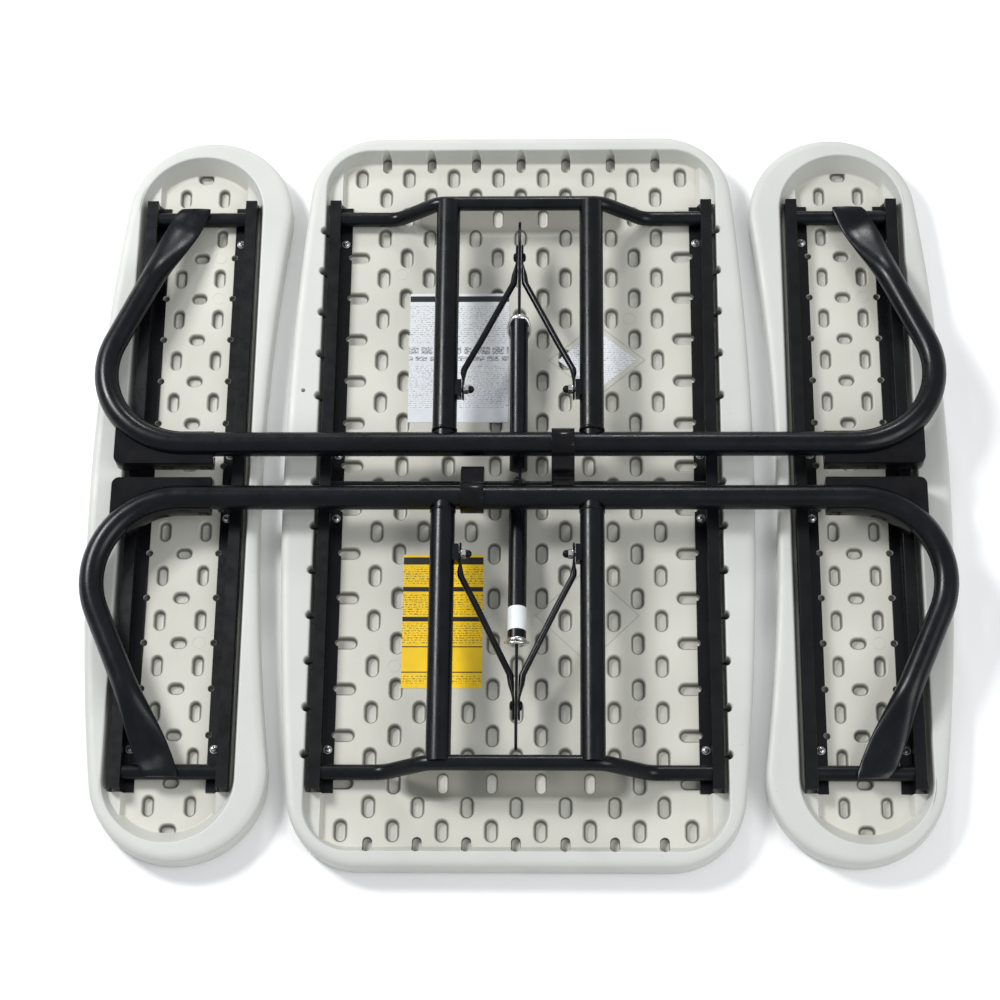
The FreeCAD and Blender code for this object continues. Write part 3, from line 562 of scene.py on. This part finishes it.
def ledge(bm, x_wall, x_inner, y_start, y_inner, y_wall, slope=3.5):
    """A raised step between a rail's end and the recess wall, which it ends inside; its inner side slopes."""
    lean = slope if x_inner > x_wall else -slope
    base = [(x_wall, y_start), (x_inner + lean, y_start), (x_inner + lean, y_inner), (x_wall, y_wall)]
    top = [(x_wall, y_start), (x_inner, y_start), (x_inner, y_inner), (x_wall, y_wall)]
    loft(bm, [[Vector((x, y, FLOOR_Z + height)) for x, y in outline]
              for outline, height in ((base, -3), (base, 0), (top, LEDGE_HEIGHT))])


def pin_mark(bm, x, y, radius=6.5):
    """The faint circle that an ejector pin leaves in the recess floor."""
    rows = []
    for grow, height in ((-0.35, 0.3), (-0.25, -0.22), (0.25, -0.22), (0.35, 0.3)):
        circle = arc((x, y), radius + grow, 0, 360, 32)
        rows.append([Vector((p.x, p.y, FLOOR_Z + height)) for p in circle])
    loft(bm, rows, closed=True)


def lattice(pitch, reach, offset):
    """Places of one row of a lattice, symmetrical about zero and within reach."""
    count = int((reach - offset) // pitch)
    first = [offset + pitch * i for i in range(count + 1)]
    return sorted({-v for v in first} | set(first))


def mark_recess(piece, middle_x, half_x, half_y, corner):
    """Give the recess, its wall and its pits the second material; the mouth is a rounded rectangle."""
    margin = 3.0
    for face in piece.data.polygons:
        centre = face.center / MM
        beyond_x = abs(centre.x - middle_x) - half_x + corner
        beyond_y = abs(centre.y) - half_y + corner
        outside = math.hypot(max(beyond_x, 0), max(beyond_y, 0)) + min(max(beyond_x, beyond_y), 0) - corner
        if outside < margin and 1.0 < centre.z < PANEL_TOP - 0.3:
            face.material_index = 1


def table_pits(rail_end):
    """The tabletop's flutes and staggered dimples; along the rails the outermost dimples lie crosswise."""
    end_line, side_line = 387.0, 210.5
    rail_line, corner_line = 177.0, 176.0
    pits = bmesh.new()
    for x in lattice(DIMPLE_PITCH, 150, 0):
        for y in lattice(DIMPLE_PITCH, 350, 0):
            dimple(pits, x, y, *TABLE_DIMPLE)
        for end in (-1, 1):
            flute(pits, x, end * end_line, 9.5, 5.0)
    for y in lattice(DIMPLE_PITCH, 372, DIMPLE_PITCH / 2):
        for x in lattice(DIMPLE_PITCH, 125, DIMPLE_PITCH / 2):
            dimple(pits, x, y, *TABLE_DIMPLE)
        for side in (-1, 1):
            if abs(y) < rail_end:
                dimple(pits, side * rail_line, y, 10.5, 4.6, crosswise=True)
            else:
                dimple(pits, side * corner_line, y, *TABLE_DIMPLE)
    for y in lattice(DIMPLE_PITCH, 300, 0):
        for side in (-1, 1):
            flute(pits, side * side_line, y, 7.0, 4.6, crosswise=True)
    return pits


def make_tabletop(materials):
    """The tabletop panel with its dimples, fluted recess walls and the hollows under the crossbars."""
    blank = panel_blank(table_outline(), table_recess(*TABLE_MOUTH), table_recess(*TABLE_FOOT))
    piece = add_piece("tabletop_shell", blank, materials, "tabletop", "panel_plastic", "tabletop_panel")
    rail_corner = box_mm("table_rail_right")[1]
    ledge_x, ledge_y = rail_corner.x - 12, rail_corner.y + 1.0
    wall_x, wall_y, inner_y = 216.0, 362.0, 390.0
    pads = bmesh.new()
    for side in (-1, 1):
        for end in (-1, 1):
            ledge(pads, side * wall_x, side * ledge_x, end * ledge_y, end * inner_y, end * wall_y)
    combine(piece, pads, "UNION")
    hollows = bmesh.new()
    half_length, near_y, far_y = 118, 297.0, 343.0
    for end in (-1, 1):
        y_low, y_high = sorted((end * near_y, end * far_y))
        trough(hollows, half_length, y_low, y_high, depth=3.0, slope=9.0)
    combine(piece, hollows, "DIFFERENCE")
    combine(piece, table_pits(rail_corner.y), "DIFFERENCE")
    vent = bmesh.new()
    vent_foot = Vector((*VENT_PLACE, PANEL_TOP - 6))
    lathe(vent, vent_foot, UPWARDS, ((0, 1.8), (5.2, 2.0), (6.4, 2.6), (7, 2.8)), 20)
    combine(piece, vent, "DIFFERENCE")
    marks = bmesh.new()
    for x, y in TABLE_MARKS:
        pin_mark(marks, x, y)
    combine(piece, marks, "DIFFERENCE")
    mark_recess(piece, 0, *TABLE_MOUTH)
    smooth(piece)


def bench_pits(side, middle, inner_face, outer_face):
    """Pairs of lengthwise dimples between single crosswise ones, and notches along both rails."""
    pits = bmesh.new()
    for y in lattice(DIMPLE_PITCH, 350, 0):
        for offset in (-BENCH_PAIR, BENCH_PAIR):
            dimple(pits, middle + offset, y, *BENCH_DIMPLE)
    for y in lattice(DIMPLE_PITCH, 372, DIMPLE_PITCH / 2):
        dimple(pits, middle, y, 6.6, 4.2, crosswise=True)
    for y in lattice(DIMPLE_PITCH, 300, DIMPLE_PITCH / 2):
        for x in (outer_face - NOTCH_LINE, inner_face + NOTCH_LINE):
            dimple(pits, side * x, y, 3.6, 3.5, profile=NOTCH_PIT)
    return pits


def make_bench(name, side, materials):
    """A bench panel with its dimples and the ledges at its rails' ends."""
    mouth, foot = bench_recess(side, *BENCH_MOUTH), bench_recess(side, *BENCH_FOOT)
    blank = panel_blank(bench_outline(side), mouth, foot)
    piece = add_piece(f"{name}_shell", blank, materials, name, "panel_plastic", f"{name}_panel")
    outer_face = side_extent(f"{name}_outer_rail")[2]
    inner_face = side_extent(f"{name}_inner_rail")[1]
    ledge_y = box_mm(f"{name}_outer_rail")[1].y + 1.0
    wall_y, inner_y = 347.0, 362.0
    middle = side * (outer_face + inner_face) / 2
    pads = bmesh.new()
    for end in (-1, 1):
        for face, outwards in ((outer_face, 1), (inner_face, -1)):
            wall_x, inner_x = side * (face + 8 * outwards), side * (face - 12 * outwards)
            ledge(pads, wall_x, inner_x, end * ledge_y, end * inner_y, end * wall_y)
    combine(piece, pads, "UNION")
    combine(piece, bench_pits(side, middle, inner_face, outer_face), "DIFFERENCE")
    marks = bmesh.new()
    for pair_side, y in BENCH_MARKS:
        pin_mark(marks, middle + BENCH_PAIR * pair_side, y)
    combine(piece, marks, "DIFFERENCE")
    half_width, straight = BENCH_MOUTH
    mark_recess(piece, side * BENCH_MIDDLE, half_width, straight + half_width, half_width)
    smooth(piece)


# ---- hardware ----


def lathe(bm, centre, axis, profile, steps=28, material=0):
    """Turned solid: the profile gives (distance along the axis, radius) from one end to the other."""
    turn = axis.normalized().to_track_quat("Z", "Y").to_matrix()
    rings = []
    for along, radius in profile:
        circle = arc((0, 0), radius, 0, 360, steps)
        rings.append([centre + turn @ Vector((p.x, p.y, along)) for p in circle])
    loft(bm, rings, material=material)


def screw_head(bm, x, y, z, turn):
    """A domed screw head on a washer, with a black cross set in it as painted shade for its cross recess."""
    washer = ((0, 4.5), (0.5, 4.5), (0.7, 4.3))
    dome = ((0.7, 3.7), (1.2, 3.7), (1.9, 3.4), (2.5, 2.7), (2.85, 1.7), (3.0, 0.6))
    lathe(bm, Vector((x, y, z)), UPWARDS, washer + dome)
    # painted shade: the black cross stands for the shade inside the cross recess
    half, arm = 0.45, 2.1
    for i in range(2):
        spin = Matrix.Rotation(turn + math.pi / 2 * i, 3, "Z")
        bar = [spin @ Vector((u, v, 0)) for u, v in ((-arm, -half), (arm, -half), (arm, half), (-arm, half))]
        rings = [[Vector((x + p.x, y + p.y, z + height)) for p in bar] for height in (2.35, 3.0)]
        loft(bm, rings, material=1)


def make_screws(node, body, spots, metal, cross_shade):
    """The heads of a panel's screws, in one piece; each is turned differently."""
    base = box_mm(node)[0].z
    bm = bmesh.new()
    for i, (x, y) in enumerate(spots):
        screw_head(bm, x, y, base, 0.4 + 1.1 * i)
    smooth(add_piece(f"{node}_heads", bm, [metal, cross_shade], body, "zinc_hardware", node))


def screw_spots(columns):
    """Four screws in each column, symmetrical about the middle."""
    return [(x, y) for x in columns for y in (-288, -36, 36, 288)]


def eased(node, material, slot, width, angle=35):
    """A copy of a CAD part with its sharp edges rounded, which stands for the part."""
    bm = bmesh.new()
    bm.from_mesh(nodes[node].data)
    bmesh.ops.remove_doubles(bm, verts=bm.verts, dist=1e-6)
    bmesh.ops.dissolve_limit(bm, angle_limit=math.radians(2), verts=bm.verts, edges=bm.edges)
    sharp = [e for e in bm.edges if e.is_manifold and e.calc_face_angle() > math.radians(angle)]
    bmesh.ops.bevel(
        bm, geom=sharp, offset=width * MM, segments=2, profile=0.5, affect="EDGES", clamp_overlap=True
    )
    bm.transform(Matrix.Scale(1 / MM, 4))
    smooth(add_piece(f"{node}_eased", bm, [material], nodes[node]["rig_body"], slot, node), 40)


def repaint(node, material):
    """Give a CAD part that keeps its shape a better material."""
    mesh = nodes[node].data
    mesh.materials.clear()
    mesh.materials.append(material)


def label_sheet(name, node, slot, strips):
    """A thin, slightly rippled label in place of a CAD one, made of strips from its far end.

    Each strip gives its share of the length and its material.
    """
    low, high = box_mm(node)
    span = high - low
    steps = 24
    bm = bmesh.new()
    materials = []
    start = 0.0
    for share, material in strips:
        if material not in materials:
            materials.append(material)
        rows = []
        for along in (start, start + share):
            row = []
            for i in range(steps + 1):
                across = i / steps
                ripple = 0.1 * math.sin(9 * across + 5 * along) + 0.1
                x, y = low.x + span.x * across, high.y - span.y * along
                row.append(bm.verts.new((x, y, high.z - 0.2 + ripple * 0.9)))
            rows.append(row)
        for i in range(steps):
            face = bm.faces.new((rows[0][i], rows[0][i + 1], rows[1][i + 1], rows[1][i]))
            face.material_index = materials.index(material)
        start += share
    bmesh.ops.remove_doubles(bm, verts=bm.verts, dist=1e-4)
    made = bmesh.ops.extrude_face_region(bm, geom=list(bm.faces))
    for part in made["geom"]:
        if isinstance(part, bmesh.types.BMVert):
            part.co.z = low.z + 0.02
    add_piece(name, bm, materials, "tabletop", slot, node)


def bend_points(before, corner, after, radius, count):
    """Points on the arc that rounds a corner of a route in space."""
    back, ahead = (before - corner).normalized(), (after - corner).normalized()
    half = back.angle(ahead) / 2
    centre = corner + (back + ahead).normalized() * radius / math.sin(half)
    first = corner + back * radius / math.tan(half) - centre
    axis = back.cross(ahead).normalized()
    sweep = math.pi - 2 * half
    return [centre + Matrix.Rotation(-sweep * i / count, 3, axis) @ first for i in range(count + 1)]


def divided(points, longest):
    """The same route with steps no longer than the given length."""
    route = [points[0]]
    for a, b in zip(points, points[1:]):
        count = max(1, math.ceil((b - a).length / longest))
        route += [a.lerp(b, i / count) for i in range(1, count + 1)]
    return route


def eased_step(value):
    """From 0 to 1 with a soft start and end, held outside."""
    value = min(max(value, 0.0), 1.0)
    return value * value * (3 - 2 * value)


def tip_distances(route):
    """How far each point of a route is from the nearer of the route's two ends."""
    walked = [0.0]
    for a, b in zip(route, route[1:]):
        walked.append(walked[-1] + (b - a).length)
    return [min(w, walked[-1] - w) for w in walked]


def ground_route():
    """The ground tube's centre line, from the left paddle round to the right one."""
    corner = Vector((483.2, 30.0, 58.0))
    crest = Vector((392.6, 238.0, 47.5))
    tip = Vector((359.5, 314.0, 32.65))
    end_y = 321.9
    level_run = Vector((tip.x - crest.x, tip.y - crest.y, 0)).normalized()
    flat = tip - level_run * 17
    over = tip + level_run * ((end_y - tip.y) / level_run.y)
    middle = Vector((0, corner.y, corner.z))
    arm = [middle] + bend_points(middle, corner, crest, 88.0, 24)
    arm += bend_points(corner, crest, flat, 150.0, 8) + bend_points(crest, flat, over, 60.0, 6) + [over]
    far_arm = [Vector((-p.x, p.y, p.z)) for p in reversed(arm[1:])]
    return divided(far_arm + arm, 6.0)


def ground_tube(end, material):
    """The bent ground tube whose arms are pressed flat, smoothly, onto the bench crossbars."""
    radius, paddle_half_width, paddle_half_height = 12.7, 18.0, 3.5
    pressing_start, pressing_length = 112, 84
    paddle_dish = 1.6
    route = ground_route()
    rings = []
    for i, to_tip in enumerate(tip_distances(route)):
        ahead = (route[min(i + 1, len(route) - 1)] - route[max(i - 1, 0)]).normalized()
        across = UPWARDS.cross(ahead).normalized()
        up = ahead.cross(across).normalized()
        turned = eased_step(1 - to_tip / 24)
        across = across.lerp(SIDEWAYS * math.copysign(1, across.x), turned).normalized()
        pressed = eased_step((pressing_start - to_tip) / pressing_length)
        blunt = 1 - 0.1 * max(0.0, 1 - to_tip / 4) ** 2
        wide = (radius + (paddle_half_width - radius) * pressed) * blunt
        tall = (radius + (paddle_half_height - radius) * pressed) * (0.6 + 0.4 * min(1.0, to_tip / 3))
        dish = paddle_dish * pressed * (1 - turned)
        ring = []
        for k in range(32):
            turn = 2 * math.pi * k / 32
            u, v = math.cos(turn), math.sin(turn)
            sag = dish * (1 - abs(u)) if v > 0 else 0.0
            ring.append(route[i] + across * wide * u + up * (tall * v - sag))
        rings.append(ring)
    bm = bmesh.new()
    loft(bm, rings)
    if end == "b":
        bmesh.ops.rotate(bm, verts=bm.verts, matrix=Matrix.Rotation(math.pi, 3, "Z"))
    node = f"ground_tube_{end}"
    smooth(add_piece(f"{node}_bent", bm, [material], f"base_frame_{end}", "frame_steel", node), 45)


def lock_loop(end, at, lean, material):
    """The plated wire loop that hangs round the brace near the end of its tube, and the band on that end."""
    loop_radius, wire_radius, band_start = 11.4, 1.5, 181.0
    along = joint_axis(f"ring_slide_{end}")
    pin = joint_place(f"brace_swing_{end}")
    up = SIDEWAYS.cross(along)
    up = up if up.z > 0 else -up
    lean = math.radians(lean)
    tall = along * math.sin(lean) + up * math.cos(lean)
    normal = tall.cross(SIDEWAYS).normalized()
    loop_height = loop_radius / math.cos(lean * 0.75)
    bm = bmesh.new()
    rings = []
    for i in range(48):
        turn = 2 * math.pi * i / 48
        u, v = math.cos(turn), math.sin(turn)
        outward = SIDEWAYS * u + tall * v
        place = pin + along * at + SIDEWAYS * loop_radius * u + tall * loop_height * v
        rings.append(oval(place, outward * wire_radius, normal * wire_radius, 12))
    loft(bm, rings, closed=True)
    lathe(bm, pin + along * band_start, along, ((0, 9.7), (0.6, 10.3), (3.4, 10.3), (4.0, 9.7), (4.2, 8.6)))
    node = f"lock_ring_{end}"
    smooth(add_piece(f"{node}_loop", bm, [material], f"ring_{end}", "zinc_hardware", node), 50)


def make_strut(end, side_name, material):
    """One strut: an eye at the upright, a round rod, and a flat end riveted beside the bar at the knee."""
    node = f"strut_{end}_{side_name}"
    side, _, outermost = side_extent(node)
    eye_x = side * (outermost - 1.4)
    rod_x = side * 6.2
    plate_x = side * 3.05
    lug = joint_place(f"strut_swing_{end}")
    knee = knee_place(end)
    run = knee - lug
    up = SIDEWAYS.cross(run.normalized())
    # stations: share of the way to the knee, sideways place, half thickness, half height
    stations = [
        (-0.075, eye_x, 0.5, 2.2), (-0.068, eye_x, 1.25, 4.4), (-0.045, eye_x, 1.25, 6.1),
        (0.0, eye_x, 1.25, 6.5), (0.05, eye_x, 1.3, 6.4), (0.08, eye_x, 1.9, 5.6),
        (0.12, eye_x, 3.2, 4.3), (0.15, eye_x * 0.985, 3.6, 4.0),
    ]
    for share in (0.35, 0.5, 0.65):
        stations.append((share, eye_x + (rod_x - eye_x) * (share - 0.13) / 0.67, 3.7, 3.9))
    stations += [
        (0.80, rod_x, 3.7, 3.9), (0.86, side * 5.2, 3.2, 4.5), (0.915, side * 3.9, 1.8, 5.8),
        (0.95, plate_x, 1.25, 6.4), (1.0, plate_x, 1.25, 6.5), (1.06, plate_x, 1.25, 6.1),
        (1.085, plate_x, 1.25, 4.4), (1.095, plate_x, 0.5, 2.2),
    ]
    thick = run.cross(up).normalized()
    bm = bmesh.new()
    loft(bm, [oval(lug + run * share + SIDEWAYS * x, thick * thin, up * tall, 20)
              for share, x, thin, tall in stations])
    rivet = ((0, 4.6), (0.5, 4.9), (1.4, 4.5), (2.2, 3.3), (2.6, 1.6))
    lathe(bm, knee + SIDEWAYS * side * 4.2, SIDEWAYS * side, rivet, 20)
    smooth(add_piece(f"{node}_rod", bm, [material], f"struts_{end}", "frame_steel", node), 50)


def diamond(centre, half_x, half_y, height):
    """A square turned on its corner, at a height above the recess floor."""
    corners = ((1, 0), (0, 1), (-1, 0), (0, -1))
    return [Vector((centre[0] + u * half_x, centre[1] + v * half_y, FLOOR_Z + height)) for u, v in corners]


def film_frame(name, centre, half_x, half_y, width, material):
    """The raised edge of a clear square sticker that is turned on its corner."""
    bm = bmesh.new()
    section = ((0, 0.02), (0, 0.32), (-width, 0.32), (-width, 0.02))
    loft(bm, [diamond(centre, half_x + grow, half_y + grow, height) for grow, height in section], closed=True)
    add_piece(name, bm, [material], "tabletop", "white_label")


def turned_sheet(name, centre, half_x, half_y, material):
    """The printed paper in the middle of a clear sticker, turned on its corner like it."""
    bm = bmesh.new()
    loft(bm, [diamond(centre, half_x, half_y, height) for height in (0.02, 0.25)])
    add_piece(name, bm, [material], "tabletop", "white_label")


def make_bolt(node, metal, cap):
    """A bolt through a strut's eye: shank, washer, plated nut and a domed plastic cap on its inner end."""
    side, near, far = side_extent(node)
    low, high = box_mm(node)
    start = Vector((side * far, (low.y + high.y) / 2, (low.z + high.z) / 2))
    inward = SIDEWAYS * -side
    tip = far - near
    nut_end = tip - 5.7
    nut_start = nut_end - 4.4
    shank = ((0, 2.6), (0.4, 3.0), (nut_start, 3.0), (tip - 2.0, 2.9))
    washer = ((nut_start - 0.8, 5.3), (nut_start, 5.3))
    nut = ((nut_start, 4.9), (nut_start + 0.4, 5.45), (nut_end - 0.4, 5.45), (nut_end, 4.9))
    dome = ((nut_end, 4.1), (nut_end + 2.4, 4.1), (nut_end + 4.1, 3.4), (tip - 0.4, 2.0), (tip, 0.7))
    bm = bmesh.new()
    for profile, steps, material in ((shank, 20, 0), (washer, 24, 0), (nut, 6, 0), (dome, 20, 1)):
        lathe(bm, start, inward, profile, steps, material)
    smooth(add_piece(f"{node}_set", bm, [metal, cap], nodes[node]["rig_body"], "zinc_hardware", node), 40)


def tube_sleeve(name, end, start, length, materials, bands):
    """A sticker wrapped round a brace tube; bands give shares of its length that take the second material."""
    along = joint_axis(f"ring_slide_{end}")
    pin = joint_place(f"brace_swing_{end}")
    radius, rows = 9.75, 24
    profile = [(length * i / rows, radius + 0.05 * math.sin(i * 0.9)) for i in range(rows + 1)]
    bm = bmesh.new()
    lathe(bm, pin + along * start, along, profile, 40)
    for face in bm.faces:
        share = ((face.calc_center_median() - pin).dot(along) - start) / length
        if len(face.verts) == 4 and any(a < share < b for a, b in bands):
            face.material_index = 1
    smooth(add_piece(name, bm, materials, f"brace_{end}", "white_label"), 50)


# ---- put together ----

panel = [moulded_plastic("moulded_rim", False), moulded_plastic("moulded_recess", True)]
tube_paint = black_paint("tube_powder_coat", (0.001, 0.0014, 0.0025), (0.003, 0.004, 0.0065), 0.28, 1500)
rail_paint = black_paint("rail_paint", (0.002, 0.0022, 0.0028), (0.005, 0.0055, 0.007), 0.30, 2200)
moulding = black_moulding()
plating = zinc()
# the pale label stock is partly painted shade: dimmed and tinted blue for the shade that falls on the labels
white_stock = paper("white_label_stock", (0.74, 0.77, 0.80))
yellow_stock = paper("yellow_label_stock", (0.94, 0.61, 0.004))
film_edge = paper("clear_sticker_edge", (0.42, 0.42, 0.39))
black_print = paper("black_print", (0.006, 0.006, 0.006))
white_lines = printed_lines("white_label_lines", (0.74, 0.77, 0.80), (0.33, 0.33, 0.34), 2.4)
white_blocks = printed_lines("white_label_blocks", (0.74, 0.77, 0.80), (0.14, 0.14, 0.15), 14.0, 1.1, 0.12)
yellow_lines = printed_lines("yellow_label_lines", (0.94, 0.61, 0.004), (0.20, 0.14, 0.02), 2.6)

rounded_plastic = {"foot": 0.9, "clip": 0.5, "collar": 0.5}
remade = ("label", "screws", "panel", "ground_tube", "lock_ring", "strut_")

make_tabletop(panel)
make_bench("bench_left", -1, panel)
make_bench("bench_right", 1, panel)

for node in nodes:
    plastic = next((word for word in rounded_plastic if word in node), None)
    if "rail" in node:
        eased(node, rail_paint, "frame_steel", 0.45)
    elif plastic:
        eased(node, moulding, "black_plastic", rounded_plastic[plastic])
    elif "bracket" in node or node.startswith("brace_bar"):
        eased(node, tube_paint, "frame_steel", 0.4)
    elif "bolt" in node:
        make_bolt(node, plating, moulding)
    elif not any(word in node for word in remade):
        repaint(node, tube_paint)

for end, at, lean in (("a", 172.0, 55), ("b", 184.0, 24)):
    ground_tube(end, tube_paint)
    lock_loop(end, at, lean, plating)
    for side_name in ("left", "right"):
        make_strut(end, side_name, tube_paint)
film_frame("clear_sticker_a", (83, 148), 52, 44, 0.9, film_edge)
film_frame("clear_sticker_b", (72, -143), 54, 52, 0.9, film_edge)
turned_sheet("printed_corner", (83, 148), 42, 36, white_lines)
tube_sleeve("brace_sticker", "b", 146.0, 26.0, [white_stock, black_print], ((0.07, 0.10), (0.90, 0.93)))

table_line = 191.2
bench_lines = (306.8, 392.5)
make_screws("table_screws", "tabletop", screw_spots((-table_line, table_line)), plating, moulding)
for name, side in (("bench_left", -1), ("bench_right", 1)):
    spots = screw_spots([side * line for line in bench_lines])
    make_screws(f"{name}_screws", name, spots, plating, moulding)

label_sheet("instruction_sheet", "instruction_label", "white_label", (
    (0.02, white_stock), (0.045, black_print), (0.03, white_stock), (0.293, white_lines),
    (0.03, white_stock), (0.11, white_blocks), (0.03, white_stock), (0.34, white_lines), (0.102, white_stock),
))
label_sheet("yellow_sheet", "warning_label", "yellow_label", (
    (0.02, yellow_stock), (0.055, black_print), (0.02, yellow_stock), (0.135, yellow_lines),
    (0.015, yellow_stock), (0.035, black_print), (0.015, yellow_stock), (0.16, yellow_lines),
    (0.015, yellow_stock), (0.035, black_print), (0.015, yellow_stock), (0.15, yellow_lines),
    (0.02, yellow_stock), (0.008, black_print), (0.18, yellow_stock), (0.008, black_print),
    (0.02, yellow_stock), (0.06, yellow_lines), (0.034, yellow_stock),
))

# ---- studio ----


def studio():
    """Pale floor, large soft lights and a white surround."""
    bpy.ops.mesh.primitive_plane_add(size=14, location=(0, 0, -0.0005))
    floor = bpy.context.object
    floor.name = "studio_floor"
    floor.data.materials.append(pale_floor())
    world = bpy.data.worlds.new("surround")
    scene.world = world
    world.use_nodes = True
    world.node_tree.nodes["Background"].inputs["Color"].default_value = (0.94, 0.965, 1.0, 1)
    world.node_tree.nodes["Background"].inputs["Strength"].default_value = 0.5
    for name, place, extent, power in (
        ("key", (-1.9, 1.1, 2.2), 0.75, 72),
        ("fill", (1.9, -1.0, 2.4), 1.6, 36),
        ("streak", (0.1, 2.9, 1.7), 0.45, 20),
    ):
        light = bpy.data.lights.new(name, "AREA")
        light.size = extent
        light.energy = power
        lamp = bpy.data.objects.new(name, light)
        lamp.location = place
        lamp.rotation_euler = (Vector((0, 0, 0)) - Vector(place)).to_track_quat("-Z", "Y").to_euler()
        scene.collection.objects.link(lamp)
    scene.view_settings.view_transform = "Standard"


def camera():
    """A long lens above the near side, with the far end of the table at the top of the picture."""
    data = bpy.data.cameras.new("camera")
    data.lens = 92.06
    data.sensor_width = 36.0
    eye = bpy.data.objects.new("camera", data)
    eye.location = (0.05543, -1.02891, 2.50261)
    eye.rotation_euler = (0.387, 0.026, 0.010)
    scene.collection.objects.link(eye)
    scene.camera = eye


studio()
camera()
